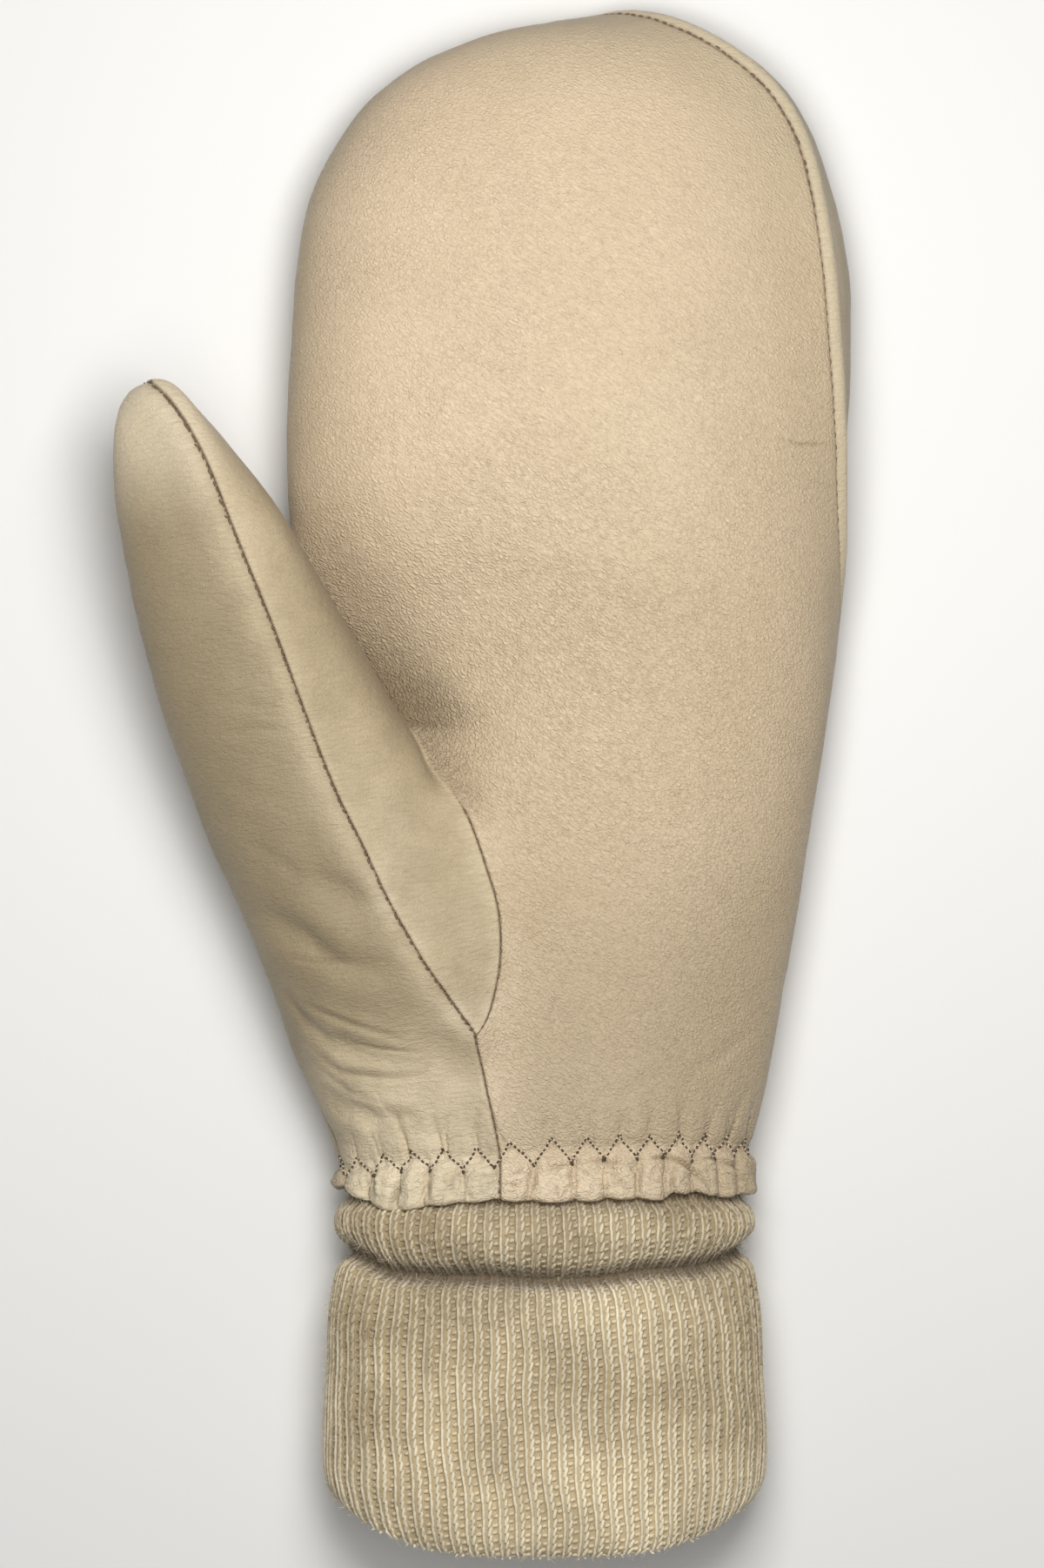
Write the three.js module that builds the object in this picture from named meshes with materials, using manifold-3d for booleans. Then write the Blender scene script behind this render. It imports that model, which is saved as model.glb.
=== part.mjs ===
import * as THREE from "three";
import Module from "manifold-3d";

const wasm = await Module();
wasm.setup();
const { Manifold, Mesh: SolidMesh } = wasm;

// Driving dimensions in millimetres. The mitten lies on its back: the palm faces +Z, the fingertips +Y.
const overallLength = 300;
const leatherWall = 1.8;
const seamGap = 0.4;
const sectionFullness = 0.88;

const bodyPoints = 56;
const thumbPoints = 26;
const innerRowStep = 2;
const innerGather = 0.4;
const hemTop = 92;

const ribCount = 64;
const ribRelief = 0.35;
const creaseLift = 5.4;
const cornerLift = 6.5;
const hemRuffle = 0.9;
const hemWaves = 7;

const tipPole = { x: 13.5, z: 13.5 };
const tipStart = 245;
const thumbPole = { along: 127.2, across: -1.5, z: 38.6 };
const wristRun = 12;
const cutReach = 160;
const cutStep = 7;
const cutBeyond = 20;

// The thumb's axis leans out from its base, and its sections stand square to it
const thumbBase = { x: -33.2, y: 108.1 };
const thumbLean = THREE.MathUtils.degToRad(19.6);

// Hand sections, tip first. left and right are the edges, bottom below 0 is flattened on the surface.
// gather is the pucker's half height, rightSeam and leftSeam are the seams' angles round the section.
const handSections = [
  { y: 299.2, left: 4.5, right: 22.3, top: 17.5, bottom: 9.5, gather: 0, rightSeam: 50, leftSeam: 180 },
  { y: 297.6, left: -7, right: 29.2, top: 21.5, bottom: 6, gather: 0, rightSeam: 44, leftSeam: 178 },
  { y: 294.5, left: -16.4, right: 36.7, top: 25.5, bottom: 3, gather: 0, rightSeam: 38, leftSeam: 176 },
  { y: 290, left: -26.1, right: 43, top: 29, bottom: 0.5, gather: 0, rightSeam: 30, leftSeam: 174 },
  { y: 284, left: -33.9, right: 48.2, top: 32.3, bottom: -1.5, gather: 0, rightSeam: 24, leftSeam: 172 },
  { y: 276, left: -40, right: 52.6, top: 35, bottom: -3, gather: 0, rightSeam: 22, leftSeam: 171 },
  { y: 265.5, left: -45.5, right: 56.2, top: 37.2, bottom: -3.8, gather: 0, rightSeam: 24, leftSeam: 170 },
  { y: 252, left: -48.2, right: 59.2, top: 38.8, bottom: -4.2, gather: 0, rightSeam: 26, leftSeam: 170 },
  { y: 234, left: -49.7, right: 59.8, top: 40, bottom: -4.4, gather: 0, rightSeam: 24, leftSeam: 172 },
  { y: 215, left: -50.3, right: 58.9, top: 40.5, bottom: -4.5, gather: 0, rightSeam: 18, leftSeam: 174 },
  { y: 198, left: -49.6, right: 57.8, top: 40.5, bottom: -4.5, gather: 0, rightSeam: 12, leftSeam: 175 },
  { y: 184, left: -48.8, right: 57, top: 40, bottom: -4.4, gather: 0, rightSeam: 2, leftSeam: 175 },
  { y: 172, left: -48.3, right: 56.4, top: 39.5, bottom: -4.4, gather: 0, rightSeam: -8, leftSeam: 175 },
  { y: 158, left: -48.4, right: 54.6, top: 39, bottom: -4.3, gather: 0, rightSeam: -15, leftSeam: 168 },
  { y: 144, left: -49.2, right: 52.2, top: 38.5, bottom: -4.3, gather: 0, rightSeam: -20, leftSeam: 148 },
  { y: 131, left: -50.4, right: 50.3, top: 38.2, bottom: -4.2, gather: 0, rightSeam: -23, leftSeam: 126 },
  { y: 119, left: -51.6, right: 48.3, top: 38, bottom: -4.2, gather: 0, rightSeam: -25, leftSeam: 110 },
  { y: 109, left: -52, right: 46.4, top: 37.8, bottom: -4.1, gather: 0, rightSeam: -27, leftSeam: 102 },
  { y: 101.2, left: -51, right: 45, top: 37.6, bottom: -4.1, gather: 0, rightSeam: -28, leftSeam: 100 },
  { y: 92, left: -47, right: 43.4, top: 37.3, bottom: -4, gather: 0.25, rightSeam: -29, leftSeam: 99.8 },
  { y: 84, left: -43.4, right: 41.4, top: 36.8, bottom: -3.9, gather: 0.6, rightSeam: -30, leftSeam: 99.4 },
  { y: 78, left: -40.2, right: 40.1, top: 35.6, bottom: -3.5, gather: 0.55, rightSeam: -30, leftSeam: 99.8 },
  { y: 74, left: -41.1, right: 41, top: 37, bottom: -3.8, gather: 0.95, rightSeam: -30, leftSeam: 99.8 },
  { y: 70, left: -41.3, right: 41.4, top: 37.4, bottom: -3.9, gather: 1, rightSeam: -30, leftSeam: 99.8 },
];

// Thumb sections, tip first. along runs up the axis from the base, left and right across it.
// palmSeam and backSeam are the places across the thumb where its two seams run.
const thumbSections = [
  { along: 126.3, left: -7.2, right: 4.2, low: 36, high: 41, palmSeam: 0, backSeam: -1 },
  { along: 123.5, left: -8.9, right: 5.4, low: 34, high: 43.3, palmSeam: 1.5, backSeam: -1 },
  { along: 118, left: -11.4, right: 7.5, low: 31, high: 45.6, palmSeam: 3.3, backSeam: -0.5 },
  { along: 108, left: -14.5, right: 11, low: 27, high: 47.6, palmSeam: 5, backSeam: 0 },
  { along: 96, left: -16.6, right: 14.7, low: 23, high: 48, palmSeam: 5.5, backSeam: 2 },
  { along: 84, left: -18.5, right: 17.5, low: 19, high: 47.4, palmSeam: 6, backSeam: 6 },
  { along: 72, left: -19.6, right: 19.7, low: 15.5, high: 46.4, palmSeam: 6.5, backSeam: 11 },
  { along: 60, left: -20, right: 22.2, low: 12, high: 45, palmSeam: 6.6, backSeam: 12 },
  { along: 49, left: -20, right: 26.5, low: 8.5, high: 43.4, palmSeam: 6.8, backSeam: 12 },
  { along: 39, left: -19.8, right: 31.8, low: 5.5, high: 43.2, palmSeam: 7.3, backSeam: 12 },
  { along: 31, left: -19.2, right: 34.8, low: 3.5, high: 43, palmSeam: 8.3, backSeam: 12 },
  { along: 24, left: -19, right: 37.2, low: 2.5, high: 42.8, palmSeam: 9, backSeam: 12 },
  { along: 17, left: -18.8, right: 38.6, low: 2, high: 42.6, palmSeam: 9.7, backSeam: 12 },
  { along: 10, left: -18.7, right: 38.1, low: 2, high: 42.4, palmSeam: 10.9, backSeam: 12 },
  { along: 3, left: -18.8, right: 36.2, low: 2, high: 41.8, palmSeam: 12.3, backSeam: 12 },
  { along: -4, left: -18.4, right: 32.9, low: 2, high: 41, palmSeam: 14, backSeam: 14 },
  { along: -11, left: -17.4, right: 28.9, low: 2.5, high: 39.6, palmSeam: 15.7, backSeam: 15.7 },
  { along: -19, left: -15, right: 19, low: 4, high: 35, palmSeam: 18, backSeam: 18 },
  { along: -27, left: -11, right: 9, low: 7, high: 28, palmSeam: 20, backSeam: 20 },
];

// Dents and folds on the upper side: centre, half sizes along and across, turn in degrees, depth
const dents = [
  { x: -13, y: 170, long: 31, wide: 20, turn: 38, depth: 8 },
  { x: -48, y: 134, long: 12, wide: 4.5, turn: -32, depth: 1.8 },
  { x: -48, y: 120, long: 11, wide: 4, turn: -36, depth: 1.5 },
  { x: -38, y: 105, long: 12, wide: 4, turn: -20, depth: 1.6 },
  { x: -33, y: 88, long: 13, wide: 5, turn: -14, depth: 2 },
];

// Cuff profile, from the tucked top down the outside, round the fold and up the inside.
// half is the half width. The oval reaches sag below floor, where it is flattened.
// lift follows the crease's curve, corner the rounded lower corners.
const cuffProfile = [
  { y: 80, half: 36.1, top: 32.6, floor: 2.3, sag: 2, ribs: 0.4, lift: 0, corner: 0 },
  { y: 68.8, half: 37.9, top: 34.1, floor: 2.3, sag: 2, ribs: 0.6, lift: 0, corner: 0 },
  { y: 65.8, half: 40.3, top: 37.7, floor: 0, sag: 4, ribs: 1, lift: 0, corner: 0 },
  { y: 58.8, half: 39.8, top: 38.2, floor: 0, sag: 4, ribs: 1, lift: 0.5, corner: 0 },
  { y: 54.6, half: 36.9, top: 33.6, floor: 0.6, sag: 4, ribs: 0.6, lift: 1, corner: 0 },
  { y: 52, half: 39.6, top: 37, floor: 0, sag: 4, ribs: 0.9, lift: 0.9, corner: 0 },
  { y: 46.5, half: 41.2, top: 39.5, floor: 0, sag: 4, ribs: 1, lift: 0.4, corner: 0 },
  { y: 22, half: 42.6, top: 41.2, floor: 0, sag: 4, ribs: 1, lift: 0, corner: 0 },
  { y: 8.5, half: 42.1, top: 40.8, floor: 0, sag: 4, ribs: 1, lift: 0, corner: 0.5 },
  { y: 2.6, half: 41, top: 39.6, floor: 0, sag: 4, ribs: 1, lift: 0, corner: 0.9 },
  { y: 0.4, half: 39.3, top: 37.6, floor: 1.9, sag: 2, ribs: 0.8, lift: 0, corner: 1 },
  { y: 3.6, half: 37.3, top: 35.5, floor: 4.2, sag: 2, ribs: 0.8, lift: 0, corner: 0.9 },
  { y: 58, half: 33.8, top: 30.8, floor: 4.6, sag: 2, ribs: 0.8, lift: 0, corner: 0 },
  { y: 80, half: 33.4, top: 29.6, floor: 4.9, sag: 2, ribs: 0.4, lift: 0, corner: 0 },
];

const leather = { color: 0xdcc7aa, roughness: 0.62, metalness: 0 };
const leatherShade = { color: 0xcdb898, roughness: 0.6, metalness: 0 };
const knitWool = { color: 0xb9a98a, roughness: 0.95, metalness: 0 };

// Closed solid through equal rings. A ring list that closes on itself has no caps.
function loftSolid(rings, { closed = false, startPole = null } = {}) {
  const count = rings[0].length;
  const points = rings.flat();
  const faces = [];
  const bands = closed ? rings.length : rings.length - 1;
  for (let row = 0; row < bands; row += 1) {
    const here = row * count;
    const next = ((row + 1) % rings.length) * count;
    for (let i = 0; i < count; i += 1) {
      const j = (i + 1) % count;
      faces.push([here + i, here + j, next + j], [here + i, next + j, next + i]);
    }
  }
  if (!closed) {
    capRing(points, faces, 0, count, startPole, true);
    capRing(points, faces, (rings.length - 1) * count, count, null, false);
  }
  return solidFrom(points, faces);
}

function capRing(points, faces, first, count, pole, isStart) {
  const ring = points.slice(first, first + count);
  const middle = new THREE.Vector3();
  ring.forEach((point) => middle.addScaledVector(point, 1 / count));
  const centre = points.length;
  points.push(pole ?? middle);
  for (let i = 0; i < count; i += 1) {
    const j = (i + 1) % count;
    faces.push(isStart ? [centre, first + j, first + i] : [centre, first + i, first + j]);
  }
}

// Turns the faces over where the volume comes out negative
function solidFrom(points, faces) {
  let volume = 0;
  for (const [a, b, c] of faces) {
    volume += points[a].dot(new THREE.Vector3().crossVectors(points[b], points[c]));
  }
  const ordered = volume > 0 ? faces : faces.map(([a, b, c]) => [a, c, b]);
  const vertProperties = new Float32Array(points.flatMap((point) => point.toArray()));
  return new Manifold(new SolidMesh({ numProp: 3, vertProperties, triVerts: new Uint32Array(ordered.flat()) }));
}

const signedPower = (value, power) => Math.sign(value) * Math.abs(value) ** power;

function dentDepth(x, y) {
  let depth = 0;
  for (const dent of dents) {
    const turn = THREE.MathUtils.degToRad(dent.turn);
    const along = (x - dent.x) * Math.cos(turn) + (y - dent.y) * Math.sin(turn);
    const across = (y - dent.y) * Math.cos(turn) - (x - dent.x) * Math.sin(turn);
    depth += dent.depth * Math.exp(-((along / dent.long) ** 2) - (across / dent.wide) ** 2);
  }
  return depth;
}

// A full, slightly squared oval, flattened at floor, with the upper half dented.
// grow widens the whole section: negative for the inside of the wall.
function ovalPoint(angle, section, grow, pucker) {
  const halfWidth = (section.right - section.left) / 2 + grow + pucker;
  const halfHeight = (section.top - section.bottom) / 2 + grow + pucker;
  return {
    x: (section.right + section.left) / 2 + halfWidth * signedPower(Math.cos(angle), sectionFullness),
    z: (section.top + section.bottom) / 2 + halfHeight * signedPower(Math.sin(angle), sectionFullness),
    upper: Math.max(0, Math.sin(angle)) ** 0.5,
  };
}

// Near the tip the wall's inside also steps back along the hand
function tipShift(y, grow) {
  const tipShare = THREE.MathUtils.clamp((y - tipStart) / (overallLength - tipStart), 0, 1);
  return grow * tipShare ** 2;
}

function handRing(section, grow, gatherShare) {
  const ring = [];
  const isHem = section === handSections.at(-1);
  for (let i = 0; i < bodyPoints; i += 1) {
    const angle = (i / bodyPoints) * 2 * Math.PI;
    const pucker = (i % 2 ? -1 : 1) * section.gather * gatherShare;
    const { x, z, upper } = ovalPoint(angle, section, grow, pucker);
    const lowered = z - dentDepth(x, section.y) * upper;
    const ruffle = isHem && grow >= 0 ? hemRuffle * Math.sin(hemWaves * angle + 1) : 0;
    const y = section.y + tipShift(section.y, grow) + ruffle;
    ring.push(new THREE.Vector3(x, y, Math.max(lowered, -Math.min(grow, 0))));
  }
  return ring;
}

const handTip = (grow) => new THREE.Vector3(tipPole.x, overallLength + grow, tipPole.z);

function handOuter() {
  const rings = handSections.map((section) => handRing(section, 0, 1));
  return loftSolid(rings, { startPole: handTip(0) });
}

// The inside runs on past the hem, so that the wrist is open
function handInner() {
  const rows = handSections.filter((section, row) => section.y <= hemTop || row % innerRowStep === 0);
  const rings = rows.map((section) => handRing(section, -leatherWall, innerGather));
  const lastRing = rings.at(-1).map((point) => point.clone().setY(point.y - wristRun));
  return loftSolid([...rings, lastRing], { startPole: handTip(-leatherWall) });
}

function thumbPlace(along, across, z) {
  return new THREE.Vector3(
    thumbBase.x - along * Math.sin(thumbLean) + across * Math.cos(thumbLean),
    thumbBase.y + along * Math.cos(thumbLean) + across * Math.sin(thumbLean),
    z,
  );
}

function thumbRing(section, grow) {
  const ring = [];
  const isTip = section === thumbSections[0];
  for (let i = 0; i < thumbPoints; i += 1) {
    const angle = (i / thumbPoints) * 2 * Math.PI;
    const shape = { left: section.left, right: section.right, top: section.high, bottom: section.low };
    const { x: across, z, upper } = ovalPoint(angle, shape, grow, 0);
    const point = thumbPlace(section.along + (isTip ? grow : 0), across, z);
    point.z = Math.max(point.z - dentDepth(point.x, point.y) * upper, -Math.min(grow, 0));
    ring.push(point);
  }
  return ring;
}

function thumbSolid(grow, rowStep = 1) {
  const rows = thumbSections.filter((section, row) => row % rowStep === 0);
  const rings = rows.map((section) => thumbRing(section, grow));
  const startPole = thumbPlace(thumbPole.along + grow, thumbPole.across, thumbPole.z);
  return loftSolid(rings, { startPole });
}

// Wedge through the hand between its two seams, opening upwards to the palm side.
// Each side crosses the wall along a short step, so that the cut follows the seam.
function palmWedge(grow) {
  const rings = handSections.map((section) => {
    const place = (x, z) => new THREE.Vector3(x, section.y, z);
    const centre = { x: (section.left + section.right) / 2, z: (section.top + section.bottom) / 2 };
    const side = (seamAngle, turn) => {
      const angle = THREE.MathUtils.degToRad(seamAngle);
      const shiftX = -turn * grow * Math.sin(angle);
      const shiftZ = turn * grow * Math.cos(angle);
      const inside = ovalPoint(angle, section, -Math.min(cutStep, centre.z - section.bottom - 2), 0);
      const outside = ovalPoint(angle, section, cutStep, 0);
      return [
        place(centre.x + shiftX, centre.z + shiftZ),
        place(inside.x + shiftX, inside.z + shiftZ),
        place(outside.x + shiftX, outside.z + shiftZ),
        place(cutReach * Math.cos(angle) + shiftX, cutReach * Math.sin(angle) + shiftZ),
      ];
    };
    const corners = [place(cutReach, cutReach), place(-cutReach, cutReach)];
    return [...side(section.rightSeam, -1), ...corners, ...side(section.leftSeam, 1).reverse()];
  });
  const beyond = (ring, shift) => ring.map((point) => point.clone().setY(point.y + shift));
  return loftSolid([beyond(rings[0], cutBeyond), ...rings, beyond(rings.at(-1), -cutBeyond)]);
}

// Block through the thumb on the hand's side of its two seams
function thumbWedge(grow) {
  const rings = thumbSections.map((section) => {
    const middle = (section.low + section.high) / 2;
    const place = (across, z) => thumbPlace(section.along, across, z);
    return [
      place(section.palmSeam - grow, middle),
      place(section.palmSeam - grow, middle + cutReach),
      place(cutReach, middle + cutReach),
      place(cutReach, middle - cutReach),
      place(section.backSeam - grow, middle - cutReach),
      place(section.backSeam - grow, middle - 1),
    ];
  });
  const step = thumbPlace(cutBeyond, 0, 0).sub(thumbPlace(0, 0, 0));
  return loftSolid([rings[0].map((point) => point.clone().add(step)), ...rings]);
}

function largestPiece(solid) {
  const pieces = solid.decompose();
  return pieces.reduce((best, piece) => (piece.volume() > best.volume() ? piece : best));
}

function leatherPanels() {
  const hand = handOuter();
  const thumb = thumbSolid(0);
  const thumbGrown = thumbSolid(seamGap);
  const hollow = handInner().add(thumbSolid(-leatherWall, innerRowStep));
  const shell = hand.add(thumb).subtract(hollow);
  const palm = shell.intersect(palmWedge(0)).subtract(thumbGrown);
  const leaf = shell.intersect(thumbWedge(0)).intersect(thumb);
  const back = shell
    .subtract(palmWedge(seamGap).subtract(thumb))
    .subtract(thumbWedge(seamGap).intersect(thumbGrown));
  return { palm: largestPiece(palm), leaf: largestPiece(leaf), back: largestPiece(back) };
}

function cuffRing(row) {
  const ring = [];
  const points = ribCount * 2;
  for (let i = 0; i < points; i += 1) {
    const angle = (i / points) * 2 * Math.PI;
    const rib = (i % 2 ? -1 : 1) * ribRelief * row.ribs;
    const shape = { left: -row.half, right: row.half, top: row.top, bottom: row.floor - row.sag };
    const { x, z } = ovalPoint(angle, shape, 0, rib);
    const side = Math.abs(Math.cos(angle));
    const y = row.y + creaseLift * row.lift * side ** 2 + cornerLift * row.corner * side ** 3;
    ring.push(new THREE.Vector3(x, y, Math.max(z, row.floor)));
  }
  return ring;
}

const knitCuff = () => loftSolid(cuffProfile.map(cuffRing), { closed: true });

function namedMesh(name, solid, finish) {
  const { vertProperties, triVerts } = solid.getMesh();
  const geometry = new THREE.BufferGeometry();
  geometry.setAttribute("position", new THREE.BufferAttribute(vertProperties, 3));
  geometry.setIndex(new THREE.BufferAttribute(triVerts, 1));
  geometry.computeVertexNormals();
  const mesh = new THREE.Mesh(geometry, new THREE.MeshStandardMaterial(finish));
  mesh.name = name;
  return mesh;
}

function mitten() {
  const { palm, leaf, back } = leatherPanels();
  const group = new THREE.Group();
  group.add(namedMesh("palm_panel", palm, leather));
  group.add(namedMesh("thumb_panel", leaf, leatherShade));
  group.add(namedMesh("back_panel", back, leatherShade));
  group.add(namedMesh("knit_cuff", knitCuff(), knitWool));
  const box = new THREE.Box3().setFromObject(group);
  group.position.set(-(box.min.x + box.max.x) / 2, -(box.min.y + box.max.y) / 2, -box.min.z);
  return group;
}

export default mitten();
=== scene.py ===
import itertools
import math
import time

import bpy
import numpy as np
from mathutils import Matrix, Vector, kdtree
from mathutils.bvhtree import BVHTree


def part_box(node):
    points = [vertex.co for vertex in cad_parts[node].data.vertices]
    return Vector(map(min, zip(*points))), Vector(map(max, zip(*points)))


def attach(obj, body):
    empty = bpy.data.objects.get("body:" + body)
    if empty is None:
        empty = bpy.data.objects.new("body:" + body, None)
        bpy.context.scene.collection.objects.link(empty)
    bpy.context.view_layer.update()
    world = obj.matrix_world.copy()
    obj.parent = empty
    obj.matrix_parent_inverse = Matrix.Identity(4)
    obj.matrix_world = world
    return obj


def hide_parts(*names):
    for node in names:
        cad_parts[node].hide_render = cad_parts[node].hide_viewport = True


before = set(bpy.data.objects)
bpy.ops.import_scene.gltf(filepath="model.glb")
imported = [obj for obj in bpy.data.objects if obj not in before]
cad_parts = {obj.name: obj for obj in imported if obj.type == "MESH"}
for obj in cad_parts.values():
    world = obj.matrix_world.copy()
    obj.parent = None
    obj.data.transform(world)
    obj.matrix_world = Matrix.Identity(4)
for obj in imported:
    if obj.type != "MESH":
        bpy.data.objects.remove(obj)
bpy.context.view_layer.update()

startTime = time.perf_counter()


def stage(text):
    print(f"mitten: {text} ({time.perf_counter() - startTime:.1f} s)")


# The shapes below are drawn in millimetres: x across the hand, y from the cuff's fold to the fingertips,
# z up from the table. This moves them into the frame, in metres.
foldStart = 0.4    # y of the cuff's fold in the drawing
cuffLow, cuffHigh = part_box("knit_cuff")
drawingShift = np.array([(cuffLow.x + cuffHigh.x) / 2 * 1000, cuffLow.y * 1000 - foldStart, 0.0])


def toFrame(points):
    return (np.asarray(points, float) + drawingShift) / 1000


# Hand shape. Each row has y, left and right edge, top, bottom (below 0 it lies flat on the table),
# and the two side seams as degrees round the section.
handShape = {
    "fullness": (0.88, 0.88, 0.88, 0.88),    # quarters: below 1 is squarer, above 1 more like a roof
    "pole": (300.0, 13.5, 13.5, 13.5, 13.5, 50, 230),
    "rows": [
        (299.2, 4.5, 22.3, 17.5, 9.5, 51, 222), (297.6, -7, 29.2, 21.5, 6, 47, 212),
        (294.5, -16.4, 36.7, 25.5, 3, 42.5, 203), (290, -26.1, 43, 29, 0.5, 35.2, 196),
        (284, -33.9, 48.2, 32.3, -1.5, 29.5, 192), (276, -40, 52.6, 35, -3, 26.8, 191),
        (265.5, -45.5, 56.2, 37.2, -3.8, 27.2, 192), (252, -48.2, 59.2, 38.8, -4.2, 28.6, 193),
        (234, -49.7, 59.8, 40, -4.4, 26, 193), (215, -50.3, 58.9, 40.5, -4.5, 19.3, 192),
        (198, -49.6, 57.8, 40.5, -4.5, 12, 190), (184, -48.8, 57, 40, -4.4, 2, 187),
        (172, -48.3, 56.4, 39.5, -4.4, -8, 183), (158, -48.4, 54.6, 39, -4.3, -15, 172),
        (144, -49.2, 52.2, 38.5, -4.3, -20, 148), (131, -50.4, 50.3, 38.2, -4.2, -23, 126),
        (119, -51.6, 48.3, 38, -4.2, -25, 110), (109, -52, 46.4, 37.8, -4.1, -27, 102),
        (101.2, -51, 45, 37.6, -4.1, -28, 100), (92, -47, 43.4, 37.3, -4, -29, 99.8),
        (84, -43.4, 41.4, 36.8, -3.9, -30, 99.4), (78, -40.2, 40.1, 35.6, -3.5, -30, 99.8),
        (74, -41.1, 41, 37, -3.8, -30, 99.8), (70, -41.3, 41.4, 37.4, -3.9, -30, 99.8),
        (60, -41.3, 41.4, 37.4, -3.9, -30, 99.8),
    ],
    "around": 240,
    "along": 330,
}

# Thumb shape. Each row has the place along the thumb's axis, left and right edge across it, top, bottom,
# and the places across it of the seam on the palm side and of the seam on the back.
thumbShape = {
    "fullness": (1.12, 0.88, 0.98, 0.84),   # upper left, upper right, lower left, lower right
    "base": (-33.2, 108.1),
    "lean": math.radians(19.6),
    "crestMiddle": 0.2,      # the thumb's crest runs between its middle and its upper seam,
    "crestSeam": 0.8,        # close to the seam
    "seamTurn": 0.15,        # share of the height over which the leaf's edge goes from one seam to the other
    "pole": (126.4, -1.5, -1.5, 38.6, 38.6, 0, -1),
    "rows": [
        (125.6, -7.0, 3.6, 41, 36, 0, -1), (123.2, -9.2, 5.2, 43.3, 34, 1.5, -1),
        (118, -11.4, 7.5, 45.6, 31, 3.3, -0.5), (108, -14.5, 11, 47.6, 27, 5, 0),
        (96, -16.6, 14.9, 48, 23, 5.5, 2), (84, -18.5, 17.4, 47.4, 19, 6, 6),
        (72, -19.6, 19.6, 46.4, 15.5, 6.5, 11), (60, -20, 21.9, 45, 12, 6.6, 12),
        (49, -20, 24.7, 43.4, 8.5, 6.8, 12), (39, -19.8, 28.8, 42.8, 5.5, 7.3, 12),
        (31, -19.2, 33.4, 42.6, 3.5, 8.3, 12), (24, -19, 37.2, 42.5, 2.5, 9, 12),
        (17, -18.8, 38.6, 42.4, 2, 9.7, 12), (10, -18.7, 38.1, 42.3, 2, 10.9, 12),
        (3, -18.8, 36, 41.8, 2, 12.3, 12), (-3, -18.4, 32.9, 40.9, 2, 14, 14),
        (-9, -17.4, 28.9, 39.2, 2.5, 15.7, 15.7), (-17, -15, 19, 34, 4, 18, 18),
        (-25, -11, 9, 27, 7, 20, 20),
    ],
    "around": 150,
    "along": 170,
}

# Broad dents of the upper side: centre, half length, half width, turn in degrees, depth
baseDents = [
    (-48, 134, 12, 4.5, -32, 0.6), (-48, 120, 11, 4, -36, 0.5), (-38, 105, 12, 4, -20, 0.5),
]
handShape["dents"] = baseDents + [
    (-22, 172, 30, 21, 48, 6.5), (-38, 175, 25, 13.5, 121, 13.5),
    (-21, 160.5, 11, 4, -6, 1.6), (12, 228, 22, 6, -6, 0.7),
]
thumbShape["dents"] = baseDents + [
    (-19, 142, 22, 6, 105, 2.2), (-25, 172, 30, 6, 117, 2.0),
]


def signedPower(value, power):
    return np.sign(value) * np.abs(value) ** power


# From 0 at the first place to 1 at the second, which may be the lower one
def smoothStep(value, start, end):
    share = np.clip((value - start) / (end - start), 0, 1)
    return share * share * (3 - 2 * share)


# 1 at the middle, falling to both sides
def bell(away, width):
    return np.exp(-((away / width) ** 2))


def softFloor(z, rounding=1.1):
    return 0.5 * (z + np.sqrt(z * z + rounding * rounding))


# A smooth curve through every column of the rows, as a dense table. From a pole, the row before it
# is the first row with its edges swapped, so that the tip comes out round.
def denseRows(rows, count, pole=None, closed=False):
    rows = np.array(rows, float)
    if pole is not None:
        beyond = rows[0][[0, 2, 1, 4, 3, 5, 6]]
        rows = np.vstack([beyond, np.array(pole, float), rows])
    if closed:
        rows = np.vstack([rows[-1], rows, rows[:2]])
    gaps = np.sqrt((np.diff(rows[:, :5], axis=0) ** 2).sum(1))
    knots = np.concatenate([[0], np.cumsum(gaps)])
    rises = np.diff(rows, axis=0) / gaps[:, None]
    slopes = np.vstack([rises[:1], (rises[1:] * gaps[:-1, None] + rises[:-1] * gaps[1:, None])
                        / (gaps[1:] + gaps[:-1])[:, None], rises[-1:]])
    first = 1 if pole is not None or closed else 0
    last = len(rows) - (2 if closed else 1)
    at = np.linspace(knots[first], knots[last], count)
    cell = np.clip(np.searchsorted(knots, at, side="right") - 1, 0, len(gaps) - 1)
    span = gaps[cell][:, None]
    t = ((at - knots[cell]) / gaps[cell])[:, None]
    return ((2 * t**3 - 3 * t**2 + 1) * rows[cell] + (t**3 - 2 * t**2 + t) * span * slopes[cell]
            + (3 * t**2 - 2 * t**3) * rows[cell + 1] + (t**3 - t**2) * span * slopes[cell + 1])


handTable = denseRows(handShape["rows"], handShape["along"], handShape["pole"])
thumbTable = denseRows(thumbShape["rows"], thumbShape["along"], thumbShape["pole"])


def rowAt(table, place):
    upward = table[::-1]
    return [np.interp(place, upward[:, 0], upward[:, column]) for column in range(1, table.shape[1])]


def dentDepth(x, y, dents):
    depth = np.zeros(np.broadcast(x, y).shape)
    for middleX, middleY, long, wide, turn, deep in dents:
        c, s = math.cos(math.radians(turn)), math.sin(math.radians(turn))
        along = (x - middleX) * c + (y - middleY) * s
        across = (y - middleY) * c - (x - middleX) * s
        depth = depth + deep * np.exp(-((along / long) ** 2) - (across / wide) ** 2)
    return depth


# Dents are full on the upper side and fade out towards the edges
def dentFade(angle):
    return np.maximum(0, np.sin(angle)) ** 0.5


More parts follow.
